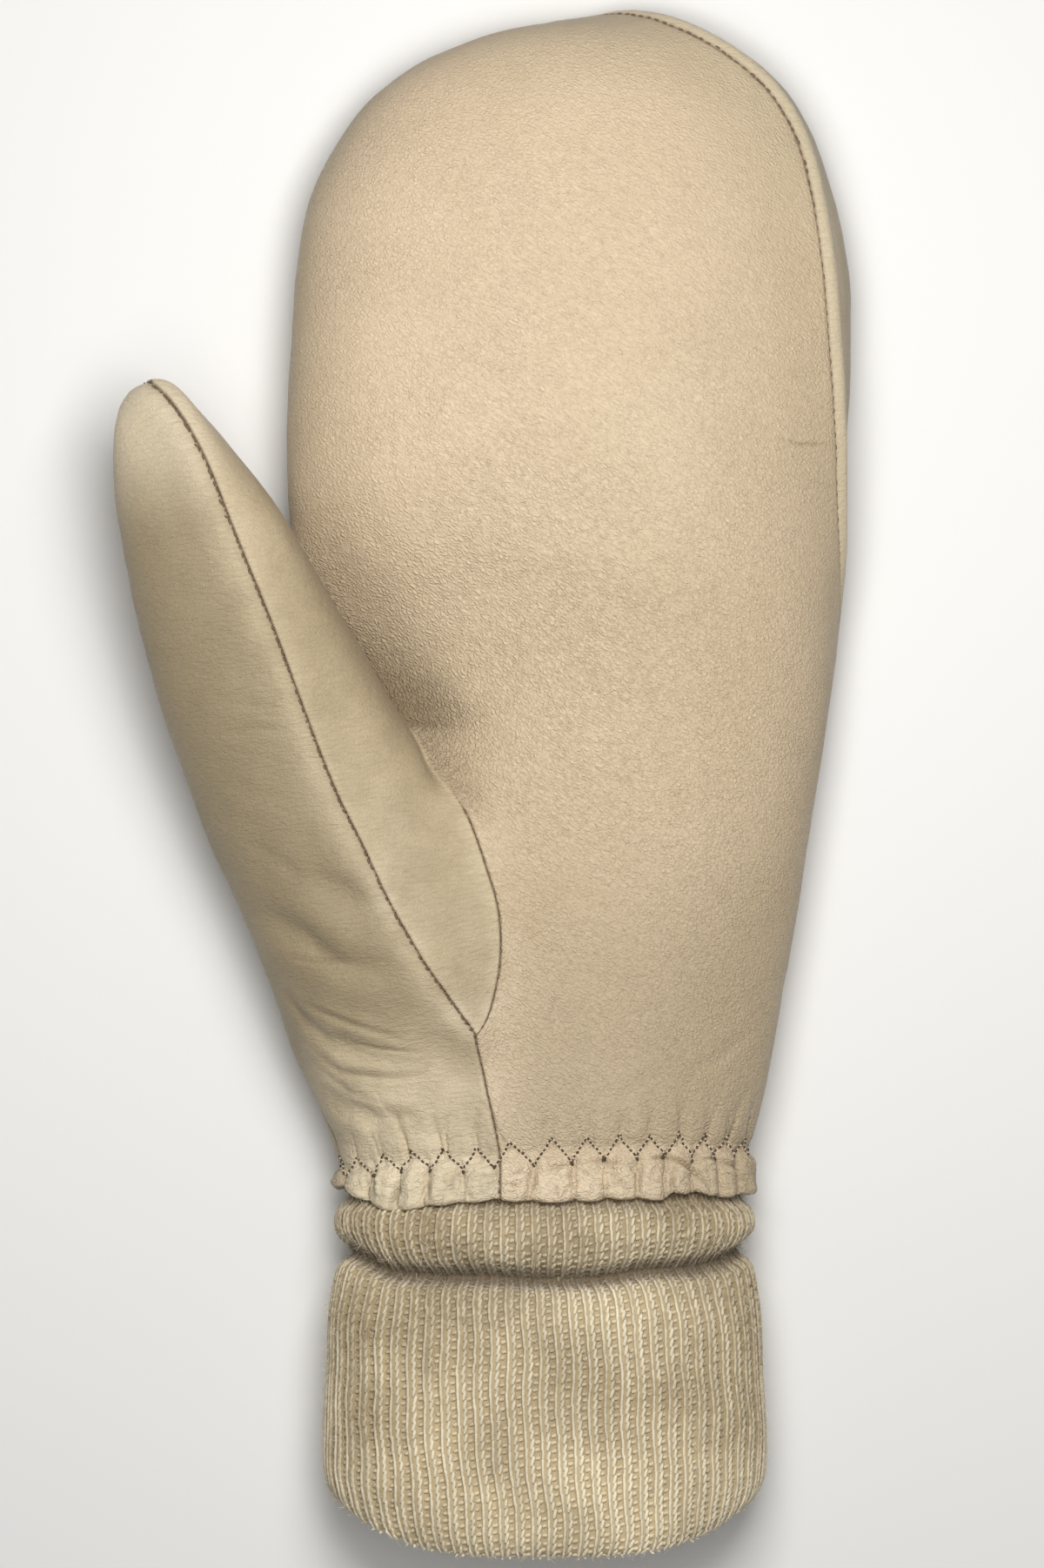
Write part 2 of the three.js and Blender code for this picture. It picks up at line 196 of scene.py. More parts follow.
# The section's exponent in the quarter that a direction from its crest line points to
def quarter(fullness, x, z):
    upperLeft, upperRight, lowerLeft, lowerRight = fullness
    upper = np.where(x < 0, upperLeft, upperRight)
    lower = np.where(x < 0, lowerLeft, lowerRight)
    return np.where(z >= 0, upper, lower)


# Points of an oval section, and the angle and distance of any point from it
def ovalPoints(left, right, top, bottom, angle, fullness, crest=None):
    crest = (left + right) / 2 if crest is None else crest
    power = quarter(fullness, np.cos(angle), np.sin(angle))
    half = np.where(np.cos(angle) < 0, crest - left, right - crest)
    x = crest + half * signedPower(np.cos(angle), power)
    z = (top + bottom) / 2 + (top - bottom) / 2 * signedPower(np.sin(angle), power)
    return x, z


leastHalf = 0.05      # a section has at least this half size, in mm
leastReach = 1e-3
deepest = -30         # points deep inside a section count as this far in


def ovalPlace(x, z, left, right, top, bottom, fullness, crest=None):
    crest = (left + right) / 2 if crest is None else crest
    offX, offZ = x - crest, z - (top + bottom) / 2
    halfX = np.maximum(np.where(offX < 0, crest - left, right - crest), leastHalf)
    halfZ = np.maximum((top - bottom) / 2, leastHalf)
    power = quarter(fullness, offX, offZ)
    u, w = offX / halfX, offZ / halfZ
    angle = np.arctan2(signedPower(w, 1 / power), signedPower(u, 1 / power))
    reach = (np.abs(u) ** (2 / power) + np.abs(w) ** (2 / power)) ** (power / 2)
    distance = np.hypot(offX, offZ) * (1 - 1 / np.maximum(reach, leastReach))
    return angle, np.maximum(distance, deepest), halfX, halfZ


def thumbCrest(left, right, palmSeam):
    seam = np.clip(palmSeam, left, right)
    return (left + right) / 2 * thumbShape["crestMiddle"] + seam * thumbShape["crestSeam"]


def thumbPlace(along, across):
    baseX, baseY = thumbShape["base"]
    s, c = math.sin(thumbShape["lean"]), math.cos(thumbShape["lean"])
    return baseX - along * s + across * c, baseY + along * c + across * s


def thumbCoordinates(x, y):
    baseX, baseY = thumbShape["base"]
    s, c = math.sin(thumbShape["lean"]), math.cos(thumbShape["lean"])
    return -(x - baseX) * s + (y - baseY) * c, (x - baseX) * c + (y - baseY) * s


# The height that a point would have without the dents. The angle is found again as the height grows.
def undented(point, dents, angleOf):
    x, y, z = point
    depth = dentDepth(x, y, dents)
    angle = angleOf(z)
    for _ in range(2):
        angle = angleOf(z + depth * dentFade(angle))
    return z + depth * dentFade(angle)


# For points of the leather: which form they are on, and how far they are from each seam, in mm
def leatherFields(points):
    x, y, z = points[:, 0], points[:, 1], points[:, 2]
    left, right, top, bottom, rightSeam, leftSeam = rowAt(handTable, y)
    hand = (left, right, top, bottom, handShape["fullness"])
    flat = undented((x, y, z), handShape["dents"], lambda height: ovalPlace(x, height, *hand)[0])
    angle, handGap, halfX, halfZ = ovalPlace(x, flat, *hand)
    degrees = (np.degrees(angle) + 90) % 360 - 90
    stretch = np.hypot(halfX * np.sin(angle), halfZ * np.cos(angle))
    palmSide = np.radians(np.minimum(degrees - rightSeam, leftSeam - degrees)) * stretch
    along, across = thumbCoordinates(x, y)
    left, right, top, bottom, palmSeam, backSeam = rowAt(thumbTable, along)
    thumb = (left, right, top, bottom, thumbShape["fullness"], thumbCrest(left, right, palmSeam))
    flat = undented((x, y, z), thumbShape["dents"], lambda height: ovalPlace(across, height, *thumb)[0])
    thumbGap = ovalPlace(across, flat, *thumb)[1]
    tip, root = thumbShape["pole"][0], thumbShape["rows"][-1][0]
    beyondEnds = np.maximum(along - tip, 0) + np.maximum(root - along, 0)
    thumbGap = np.hypot(np.maximum(thumbGap, 0), beyondEnds) + np.minimum(thumbGap, 0)
    middle, turn = (top + bottom) / 2, thumbShape["seamTurn"]
    upper = smoothStep((flat - middle) / np.maximum(top - bottom, 2 * leastHalf), -turn, turn)
    leafSide = across - (backSeam + (palmSeam - backSeam) * upper)
    return {"degrees": degrees, "palmSide": palmSide, "onThumb": handGap - thumbGap,
            "leafSide": leafSide, "along": along}


# Faces of a loft of closed rings
def loftFaces(rings, around):
    row = np.arange(rings - 1)[:, None] * around
    step = np.arange(around)[None, :]
    following = (step + 1) % around
    corners = (row + step, row + around + step, row + around + following, row + following)
    return np.stack(corners, -1).reshape(-1, 4)


# A loft with a pole at the first end and a flat cap at the other
def formLoft(shape, table, place, crestOf=None):
    angle = np.linspace(0, 2 * math.pi, shape["around"], endpoint=False)[None, :]
    columns = [table[1:, i][:, None] for i in range(5)]
    crest = crestOf(columns[1], columns[2], table[1:, 5][:, None]) if crestOf else None
    across, z = ovalPoints(*columns[1:], angle, shape["fullness"], crest)
    x, y = place(columns[0] + 0 * across, across)
    z = softFloor(z - dentDepth(x, y, shape["dents"]) * dentFade(angle))
    points = np.stack([x, y, z], -1).reshape(-1, 3)
    rings, around = len(table) - 1, shape["around"]
    quads = loftFaces(rings, around).tolist()
    poleX, poleY = place(np.array([table[0, 0]]), np.array([table[0, 1]]))
    ends = [[poleX[0], poleY[0], table[0, 3]], points[-around:].mean(0)]
    caps = [[len(points), i, (i + 1) % around] for i in range(around)]
    last = len(points) - around
    caps += [[len(points) + 1, last + (i + 1) % around, last + i] for i in range(around)]
    return np.vstack([points, ends]), quads + caps


def plainMesh(name, points, faces):
    mesh = bpy.data.meshes.new(name)
    mesh.from_pydata(np.asarray(points).tolist(), [], faces if isinstance(faces, list) else faces.tolist())
    mesh.update()
    return mesh


def addPiece(name, mesh):
    piece = bpy.data.objects.new(name, mesh)
    bpy.context.scene.collection.objects.link(piece)
    return piece


# The piece's modifiers become its mesh
def settle(piece):
    mesh = bpy.data.meshes.new_from_object(piece.evaluated_get(bpy.context.evaluated_depsgraph_get()))
    piece.modifiers.clear()
    piece.data = mesh
    mesh.name = piece.name
    return piece


def readTriangles(mesh):
    points = np.empty(len(mesh.vertices) * 3)
    mesh.vertices.foreach_get("co", points)
    mesh.calc_loop_triangles()
    triangles = np.empty(len(mesh.loop_triangles) * 3, int)
    mesh.loop_triangles.foreach_get("vertices", triangles)
    return points.reshape(-1, 3), triangles.reshape(-1, 3)


def edgesOf(triangles, count):
    sides = np.stack([triangles, np.roll(triangles, -1, 1)], -1)
    keys = sides.min(-1).astype(np.int64) * count + sides.max(-1)
    unique, index = np.unique(keys, return_inverse=True)
    return np.stack([unique // count, unique % count], 1), index.reshape(-1, 3)


# Splits the marked edges at their shares and joins each triangle's parts up again
def splitEdges(points, triangles, edges, sides, marked, share):
    added = np.full(len(edges), -1)
    added[marked] = len(points) + np.arange(marked.sum())
    part = share[marked][:, None]
    points = np.vstack([points, points[edges[marked, 0]] * (1 - part) + points[edges[marked, 1]] * part])
    marks = added[sides]
    count = (marks >= 0).sum(1)
    result = [triangles[count == 0]]
    for side in range(3):
        turn = [side, (side + 1) % 3, (side + 2) % 3]
        pick = (count == 1) & (marks[:, side] >= 0)
        (a, b, c), m = triangles[pick][:, turn].T, marks[pick, side]
        result += [np.stack([a, m, c], 1), np.stack([m, b, c], 1)]
        pick = (count == 2) & (marks[:, side] < 0)
        (a, b, c), (n, o) = triangles[pick][:, turn].T, marks[pick][:, turn[1:]].T
        result.append(np.stack([o, n, c], 1))
        short = (np.linalg.norm(points[a, :3] - points[n, :3], axis=1)
                 < np.linalg.norm(points[b, :3] - points[o, :3], axis=1))[:, None]
        result.append(np.where(short, np.stack([a, b, n], 1), np.stack([a, b, o], 1)))
        result.append(np.where(short, np.stack([a, n, o], 1), np.stack([b, n, o], 1)))
    whole, (p, q, r) = triangles[count == 3], marks[count == 3].T
    a, b, c = whole.T
    result += [np.stack(corner, 1) for corner in ((a, p, r), (p, b, q), (r, q, c), (p, q, r))]
    return points, np.vstack(result)


def refine(points, triangles, near, longest):
    edges, sides = edgesOf(triangles, len(points))
    length = np.linalg.norm(points[edges[:, 0]] - points[edges[:, 1]], axis=1)
    marked = (near[edges[:, 0]] | near[edges[:, 1]]) & (length > longest)
    return splitEdges(points, triangles, edges, sides, marked, np.full(len(edges), 0.5))


# Which edges cross the line where values are 0, and where on the edge
def crossings(values, a, b, where):
    crossing = (values[a] * values[b] < 0) & where[a] & where[b]
    share = np.where(crossing, values[a] / np.where(crossing, values[a] - values[b], 1), 0.5)
    return crossing, share


snapShare = 0.22      # share of an edge within which its point is moved onto the line


# Cuts the triangles along the line where values are 0. Points beside the line are moved onto it.
def cutAlong(points, triangles, values, where, held):
    edges, sides = edgesOf(triangles, len(points))
    a, b = edges.T
    crossing, share = crossings(values, a, b, where)
    moved = np.zeros(len(points), bool)
    target = points.copy()
    for point, away, part in ((a, b, share), (b, a, 1 - share)):
        order = np.argsort(-part)
        order = order[crossing[order] & (part[order] < snapShare) & ~held[point[order]]]
        here, there = point[order], away[order]
        target[here] = points[here] + (points[there] - points[here]) * part[order][:, None]
        moved[here] = True
    values = np.where(moved, 0.0, values)
    crossing, share = crossings(values, a, b, where)
    cut, triangles = splitEdges(target, triangles, edges, sides, crossing, share)
    return cut, triangles, np.concatenate([values, np.zeros(len(cut) - len(points))])


# Moves each point towards the middle of its neighbours. The weight is one number or one for each point.
def smoothPoints(points, edges, rounds, weight=0.5):
    count = len(points)
    a, b = edges.T
    degree = np.bincount(edges.ravel(), minlength=count)[:, None]
    weight = np.broadcast_to(weight, count)[:, None]
    for _ in range(rounds):
        total = np.stack([np.bincount(a, points[b, k], count) + np.bincount(b, points[a, k], count)
                          for k in range(3)], 1)
        points = points + weight * (total / degree - points)
    return points


def pointNormals(points, triangles):
    a, b, c = (points[triangles[:, k]] for k in range(3))
    facing = np.cross(b - a, c - a)
    normals = np.stack([sum(np.bincount(triangles[:, k], facing[:, axis], len(points)) for k in range(3))
                        for axis in range(3)], 1)
    return normals / np.maximum(np.linalg.norm(normals, axis=1), 1e-12)[:, None]


hashPrimes = np.array([374761393, 668265263, 2147483647], np.uint64)


# Even lumps of a given size between about -1 and 1, the same each time
def lumps(points, size, seed):
    place = np.asarray(points, float) / size + 100.0 + seed * 7.31
    cell = np.floor(place).astype(np.int64)
    inside = place - cell
    fade = inside**3 * (inside * (inside * 6 - 15) + 10)
    total = np.zeros(len(place))
    for corner in itertools.product((0, 1), repeat=3):
        key = (cell + corner).astype(np.uint64) @ hashPrimes + np.uint64(seed * 1013904223 + 77)
        weight = np.prod(np.where(np.array(corner) == 1, fade, 1 - fade), axis=1)
        dot = np.zeros(len(place))
        for axis in range(3):
            key = (key ^ (key >> np.uint64(13))) * np.uint64(1274126177)
            key = key ^ (key >> np.uint64(16))
            slope = (key % np.uint64(2001)).astype(float) / 1000 - 1
            dot += slope * (inside[:, axis] - corner[axis])
        total += weight * dot
    return total * 1.6


# 1. Leather body: both forms joined by a voxel remesh, in mm
leatherBody = {
    "voxel": 1.35,
    "evenRounds": 6,
    "blendReach": 8.0,       # how far the fold between thumb and hand is softened
    "blendRounds": 60,
    "blendWeight": 0.5,
    "blendOffLeaf": (2, 8),  # it is softened on the outer side of the thumb and not on the palm
    "blendOffPalm": (8, -4),
    "finer": [  # reach beside a seam, longest edge there, and how far up and down the hem is as fine
        (3.4, 0.95, 87, 5), (1.3, 0.5, 82.5, 16),
    ],
    "finerFold": 1.2,        # folds up to this half width get finer triangles
    "finerAbove": 20,
    "lumps": [(0.22, 17, 1), (0.1, 6.5, 2)],    # height, size, seed
    "unfoldRounds": 12,
    "unfoldWeight": 0.7,
    "normalRounds": 3,
    "innerRounds": 4,
    "wall": 1.6,
    "lowest": 0.04,
}


def leatherForm():
    handPoints, handFaces = formLoft(handShape, handTable, lambda along, across: (across, along))
    thumbPoints, thumbFaces = formLoft(thumbShape, thumbTable, thumbPlace, thumbCrest)
    thumbFaces = [[i + len(handPoints) for i in face] for face in thumbFaces]
    both = plainMesh("leather_form", np.vstack([handPoints, thumbPoints]), handFaces + thumbFaces)
    form = addPiece("leather_form", both)
    remesh = form.modifiers.new("Remesh", "REMESH")
    remesh.mode = "VOXEL"
    remesh.voxel_size = leatherBody["voxel"]
    settle(form)
    points, triangles = readTriangles(form.data)
    bpy.data.objects.remove(form)
    a, b, c = (points[triangles[:, k]] for k in range(3))
    if (a * np.cross(b, c)).sum() < 0:
        triangles = triangles[:, [0, 2, 1]]
    return points, triangles


# Folds pressed into the upper side: the line's points, half width, depth
leatherFolds = [
    ([(-46.7, 133), (-40.3, 129.9), (-33, 124)], 3.0, 1.17),
    ([(-56.7, 127.2), (-47.5, 120.8), (-38.6, 115.4), (-27, 113.2)], 2.6, 1.3),
    ([(-48.1, 106.3), (-42.6, 100.8), (-35.9, 99), (-28, 97.4)], 1.7, 0.91),
    ([(-44, 92), (-39, 87.6), (-33.5, 85.4), (-22, 85.2)], 1.7, 1.04),
    ([(-48.6, 109), (-43.1, 106.3), (-36, 103.6), (-27, 101.2)], 0.7, 0.39),
    ([(-38, 100.2), (-31, 98.9), (-24, 98.6)], 0.5, 0.29),
    ([(-50, 117), (-45, 116), (-37, 115.6)], 0.6, 0.26),
    ([(-46.7, 100.8), (-39.4, 94.6), (-29.4, 93.6), (-22, 94.4)], 0.8, 0.33),
    ([(-43.5, 95.6), (-38, 91), (-31, 88.6)], 0.9, 0.33),
    ([(-33, 82.6), (-27, 82.2), (-19, 83.4)], 1.4, 0.39),
    ([(-51, 111), (-47, 105.5), (-44.5, 101.5)], 0.9, 0.33),
    ([(-57.5, 139), (-51, 135.5), (-45, 131.5)], 1.2, 0.33),
    ([(-64.6, 166.8), (-58, 165.9), (-50.5, 163.6)], 1.2, 0.22),
    ([(-62.6, 160), (-57.5, 159.6), (-53, 161), (-47.5, 160.2)], 1.0, 0.2),
    ([(-61, 151), (-55, 148), (-49, 146)], 1.5, 0.24),
    ([(45, 217.1), (50, 215.6), (56.2, 216)], 0.45, 0.39),
    ([(38, 109), (43, 104.5), (48, 100)], 1.3, 0.26),
    ([(27, 93.5), (35, 98), (42, 104.5)], 1.2, 0.26),
    ([(8, 88), (17, 91), (26, 97)], 1.4, 0.23),
    ([(-28, 163.6), (-23, 162.8), (-17, 161.2)], 0.8, 0.5),
]

# Creases of the gathered hem
hemFolds = [
    ([(-32.9, 76.6), (-33.4, 73.5), (-33.1, 69.6)], 0.6, 0.9),
    ([(-35, 76.2), (-34.6, 72.9), (-33.4, 69.1)], 0.45, 0.5),
    ([(-28, 74.6), (-28.6, 71.8), (-30.3, 68)], 0.6, 0.9),
    ([(-22.3, 75.3), (-22.7, 71.8), (-22.2, 69.6)], 0.6, 0.8),
    ([(-17.4, 74.6), (-17.8, 71.5)], 0.5, 0.4), ([(-6.6, 75), (-3.1, 75.5)], 0.4, 0.35),
    ([(-8.2, 73), (-3.6, 72.8)], 0.4, 0.35), ([(-2.4, 76.6), (-2, 73.5), (-3.1, 71.5)], 0.55, 0.8),
    ([(-0.6, 75.6), (2.4, 76.5), (5.2, 76.6)], 0.4, 0.6), ([(5.4, 77.2), (5, 74.6), (5.8, 72.5)], 0.5, 0.8),
    ([(6.3, 77.6), (11.2, 77.7), (16.4, 76.6)], 0.4, 0.65), ([(6.3, 76.4), (8.9, 74.6)], 0.4, 0.4),
    ([(12, 77.8), (13.6, 74.6), (17.3, 71.2)], 0.5, 0.6),
    ([(15.6, 77.8), (17.7, 75.1), (18.1, 70.4)], 0.5, 0.6),
    ([(18, 78), (18.6, 75.1), (18.2, 71)], 0.5, 0.7),
    ([(18.8, 77.8), (23.8, 78.2), (28.3, 76.2), (31, 73.2), (32.4, 70.7)], 0.5, 1.0),
    ([(25, 75.9), (24.5, 72.9), (25.3, 70.8)], 0.5, 0.8), ([(29.4, 77.7), (33.8, 77.9)], 0.4, 0.5),
    ([(32.9, 77.7), (36.5, 76.3), (39.4, 72.9)], 0.55, 0.7), ([(2, 73), (2.5, 70.2)], 0.45, 0.45),
    ([(3.6, 70.6), (5.3, 74.1)], 0.45, 0.35), ([(-13.5, 75.5), (-10.8, 74.6), (-8.4, 75.8)], 0.4, 0.3),
    ([(9, 73.4), (11.5, 72.4), (15, 73)], 0.4, 0.25), ([(20, 74.6), (22.4, 73.2)], 0.4, 0.25),
]

foldShape = {
    "wander": 0.9,           # how far the wide folds stray from their lines
    "wanderSize": 5.5,
    "wanderSeeds": (81, 82),
    "straight": 0.9,         # folds up to this half width keep to their lines
    "rim": 0.3,              # how much the leather rises beside a fold, as a share of its depth
    "rimPlace": 1.8,
    "ends": (0.02, 0.98),    # they taper off at both ends
    "taper": 0.9,
    "dark": 1.0,             # folds below this half width are dark inside, the deeper the darker
    "darkLeast": 0.4,
    "darkMore": 0.6,
    "darkFocus": 2.5,
    "facing": (0.1, 0.6),    # folds are pressed only where the leather faces up
}

# Hem below the wrist: the lines of the elastic and of the leather's lower edge, as degrees round the
# wrist and place along the hand, and where the zigzag's low points are on the palm side
wristHem = {
    "elasticLine": [(-150, 77.2), (-90, 78.4), (-30, 79.4), (8, 79.2), (40, 80.2), (70, 80.4), (90, 79.4),
                    (108, 77.9), (125, 77.6), (142, 76.6), (158, 75.6), (175, 75.8)],
    "edgeX": [(-39.9, 72.2), (-33.8, 68.9), (-29.3, 67.5), (-21.5, 69), (-8.6, 70.2), (0.5, 69.7),
              (15.4, 70.4), (23.5, 70), (25.2, 71.4), (31, 71.2), (35.5, 70.2), (39.8, 70.7)],
    "edgeUnder": [(-20, 70.4), (-50, 69.7), (-75, 70.4), (-100, 69.4), (-125, 70.3), (-150, 69.8),
                  (-168, 71)],
    "edgePlace": 70,         # how far along the hand edgeX is measured, and lowPointsX
    "pointPlace": 78.0,
    "lowPointsX": [-38.6, -33.6, -28.1, -22.3, -16.2, -9.8, -2.2, 5.2, 11.8, 17.9, 23.5, 28.8, 33.2, 37.4],
    "lowPointsUnder": 14,
    "zigzagHeight": 4.8,
    "scallop": 0.45,         # waves of the lower edge
    "scallopMiddle": 0.6,
    "scallopUneven": 0.6,
    "edgeRound": 1.3,        # width and depth of the rounded lower edge
    "edgeDepth": 0.9,
}

# Puckers of the hem, in mm. Places across a tooth are shares of the tooth. Each lump has its height,
# its size and its seed.
hemPuckers = {
    "belowElastic": (0.4, -2.2),    # puffs between the low points below the elastic
    "puff": 1.35,
    "puffUneven": 0.55,
    "puffRound": 0.55,
    "puffMiddle": 0.7,
    "puffSway": 0.02,
    "puffWander": (0.08, 3.2, 9),
    "crease": 0.75,                 # creases at the low points
    "creaseWidth": 0.055,
    "creaseMiddle": 0.6,
    "creaseUneven": 0.4,
    "creaseFrom": (-0.2, 1.2),
    "bulge": 0.5,
    "bulgePlace": 3.2,
    "bulgeWidth": 2.2,
    "puffLumps": (0.35, 2.3, 16),
    "aboveElastic": (-1.0, 1.6),    # pleats that fan out above the elastic
    "pleat": 0.6,
    "pleatMiddle": 0.7,
    "pleatUneven": 0.6,
    "pleatDrop": 0.6,
    "pleatFadeFrom": 1.5,
    "pleatFade": 7.0,
    "pleatPower": 1.4,
    "fanOpening": 0.07,
    "fineSeeds": (51, 61, 71),
    "fineDepth": 0.42,
    "finePlace": 0.16,
    "fineWidth": 0.035,
    "wrinkle": 0.42,                # small wrinkles and cracks over both
    "wrinkleLumps": (0.7, 1.7, 3),
    "wrinkleStretch": (7.5, 0.35),
    "crackLumps": (3.2, 1.7, 4),
    "crackStretch": (3.4, 2.4),
    "crackWidth": 0.25,
    "wrinkleMiddle": -3,
    "wrinkleReach": 5,
    "pinch": 0.6,                   # the line that the elastic draws in
    "pinchWidth": 1.6,
}


def wristDegrees(x, y):
    left, right, top, bottom = [float(v) for v in rowAt(handTable, y)[:4]]
    u = np.clip((np.asarray(x, float) - (left + right) / 2) / ((right - left) / 2), -1, 1)
    return np.degrees(np.arccos(signedPower(u, 1 / handShape["fullness"][0])))


def aroundWrist(pairs, degrees):
    angle, value = np.array(sorted(pairs)).T
    return np.interp(degrees, angle, value, period=360)


hemEdge = wristHem["edgeUnder"] + [(float(wristDegrees(x, wristHem["edgePlace"])), y)
                                   for x, y in wristHem["edgeX"]]


# Counts the zigzag's teeth round the wrist: whole numbers at the low points
def toothPhase(degrees):
    low = sorted(float(wristDegrees(x, wristHem["pointPlace"])) for x in wristHem["lowPointsX"])
    under = wristHem["lowPointsUnder"]
    gap = 360 - low[-1] + low[0]
    angles = low + [low[-1] + gap * (i + 1) / (under + 1) for i in range(under)]
    angles = np.array([angles[-1] - 360] + angles + [angles[0] + 360, angles[1] + 360])
    turned = (np.asarray(degrees) - angles[0]) % 360 + angles[0]
    return np.interp(turned, angles, np.arange(len(angles)) - 1.0)


teeth = len(wristHem["lowPointsX"]) + wristHem["lowPointsUnder"]


# A random number from -1 to 1 for each tooth
def perTooth(phase, seed):
    rng = np.random.default_rng(seed)
    return rng.uniform(-1, 1, teeth)[np.floor(phase).astype(int) % teeth]


def heightLumps(points, lump):
    height, size, seed = lump
    return height * lumps(points, size, seed)


# Puffs below the elastic, with a crease at each low point
def hemPuffs(points, phase, below):
    pucker = hemPuckers
    turned = phase + pucker["puffSway"] * below * perTooth(phase + 0.5, seed=12)
    turned = turned + heightLumps(points, pucker["puffWander"])
    part = (turned + 0.5) % 1 - 0.5
    tall = pucker["puff"] * (1 + pucker["puffUneven"] * perTooth(phase, seed=5))
    low = tall * (np.abs(np.sin(math.pi * turned)) ** pucker["puffRound"] - pucker["puffMiddle"])
    deep = pucker["creaseMiddle"] + pucker["creaseUneven"] * perTooth(phase + 0.5, seed=14)
    crease = bell(part, pucker["creaseWidth"]) * deep * smoothStep(below, *pucker["creaseFrom"])
    low -= pucker["crease"] * crease
    bulge = bell(below - pucker["bulgePlace"], pucker["bulgeWidth"])
    low += pucker["bulge"] * bulge * np.sin(math.pi * turned) ** 2
    return low + heightLumps(points, pucker["puffLumps"]), crease


# Pleats above it, a broad one for each tooth and fine ones that fan out from it
def hemPleats(phase, above):
    pucker = hemPuckers
    tall = pucker["pleat"] * (pucker["pleatMiddle"] + pucker["pleatUneven"] * perTooth(phase + 0.5, seed=8))
    high = tall * (np.abs(np.cos(math.pi * phase)) - pucker["pleatDrop"])
    fan = (phase % 1 - 0.5) * (1 - pucker["fanOpening"] * above)
    for seed in pucker["fineSeeds"]:
        middle = pucker["finePlace"] * perTooth(phase, seed)
        deep = pucker["fineDepth"] * (1 + perTooth(phase, seed + 1))
        high -= deep * bell(fan - middle, pucker["fineWidth"])
    return high


def hemWrinkles(points, phase, above):
    pucker = hemPuckers
    stretched, sideways = (np.stack([phase * around, points[:, 1] * along, 0 * phase], 1)
                           for around, along in (pucker["wrinkleStretch"], pucker["crackStretch"]))
    deep, size, seed = pucker["crackLumps"]
    cracks = -np.maximum(pucker["crackWidth"] - np.abs(lumps(sideways, size, seed)), 0) * deep
    rough = pucker["wrinkle"] * (heightLumps(stretched, pucker["wrinkleLumps"]) + cracks)
    return rough * bell(above - pucker["wrinkleMiddle"], pucker["wrinkleReach"])


def hemRelief(points, degrees):
    phase = toothPhase(degrees)
    above = points[:, 1] - aroundWrist(wristHem["elasticLine"], degrees)
    low, crease = hemPuffs(points, phase, np.maximum(-above, 0))
    down = smoothStep(above, *hemPuckers["belowElastic"])
    beyond = np.maximum(above - hemPuckers["pleatFadeFrom"], 0) / hemPuckers["pleatFade"]
    upward = smoothStep(above, *hemPuckers["aboveElastic"]) * np.exp(-(beyond ** hemPuckers["pleatPower"]))
    pinch = -hemPuckers["pinch"] * bell(above, hemPuckers["pinchWidth"])
    relief = down * low + upward * hemPleats(phase, above) + hemWrinkles(points, phase, above) + pinch
    return relief, down * crease


# Distance from a stroke, and how far along it from 0 to 1
def strokePlace(points, stroke):
    line = np.array(stroke, float)
    lengths = np.linalg.norm(np.diff(line, axis=0), axis=1)
    starts = np.concatenate([[0], np.cumsum(lengths)])
    best = np.full(len(points), 1e9)
    share = np.zeros(len(points))
    for i, (a, b) in enumerate(zip(line[:-1], line[1:])):
        t = np.clip(((points[:, :2] - a) @ (b - a)) / ((b - a) @ (b - a)), 0, 1)
        away = np.linalg.norm(points[:, :2] - a - t[:, None] * (b - a), axis=1)
        share = np.where(away < best, (starts[i] + t * lengths[i]) / starts[-1], share)
        best = np.minimum(best, away)
    return best, share


def distanceTo(line, points, reach):
    tree = kdtree.KDTree(len(line))
    for i, point in enumerate(line):
        tree.insert(point, i)
    tree.balance()
    low, high = line.min(0) - reach, line.max(0) + reach
    near = ((points > low) & (points < high)).all(1)
    result = np.full(len(points), reach)
    result[near] = [min(reach, tree.find(point)[2]) for point in points[near]]
    return result


# Seams: the ridge beside a seam and the groove that its edges turn into, in mm. A pair of places is
# where something fades in, from the first to the second.
seamShape = {
    "palm-leaf": {"ridge": 0.3, "decay": 2.4},
    "leaf-back": {"ridge": 1.2, "decay": 4.5},
    "palm-back": {"ridge": 0.6, "decay": 2.6},
    "reach": 18.0,
    "dip": 0.25,             # the leather dips again beyond the ridge
    "dipPlace": 7,
    "dipWidth": 3.5,
    "groove": 0.45,
    "grooveDepth": 0.5,
    "roll": 1.3,             # the back's leather rolls up beside the palm seam round the fingertips
    "rollPlace": 2.1,
    "rollWidth": 1.5,
    "rollFade": 5,
    "rollUp": (170, 200),
    "rollRight": (-24, 2),
    "step": 0.45,            # how far the outer thumb's leather lies lower beside its seam
    "stepReach": 1.7,
    "plainRight": (30, 36),  # down the hand's right side the seam's thread hardly shows
    "plainDown": (264, 256),
}

# Beside the thumb's root the seam lies in under the thumb, in a hollow that gets painted shade
hollowShape = {
    "tuck": 2.6,
    "tuckSink": 0.7,
    "tuckReach": 3.4,
    "tuckUp": (144, 156),
    "closedUp": (142, 149),  # from there up the seam has no groove
    "closedReach": 3,
    "wideUp": (158.5, 165),  # the shade is narrow below these places and wide above them
    "wide": 7.8,
    "wideLeast": 0.4,
    "wideMore": 0.55,
    "wideMiddle": 167,
    "wideSpread": 13,
    "narrow": 4.5,
    "narrowShare": 0.5,
    "narrowUp": (141, 150),
    "shadeEnd": (8, 16),
}

shortestLine = 12     # shorter lines of border edges belong to scraps


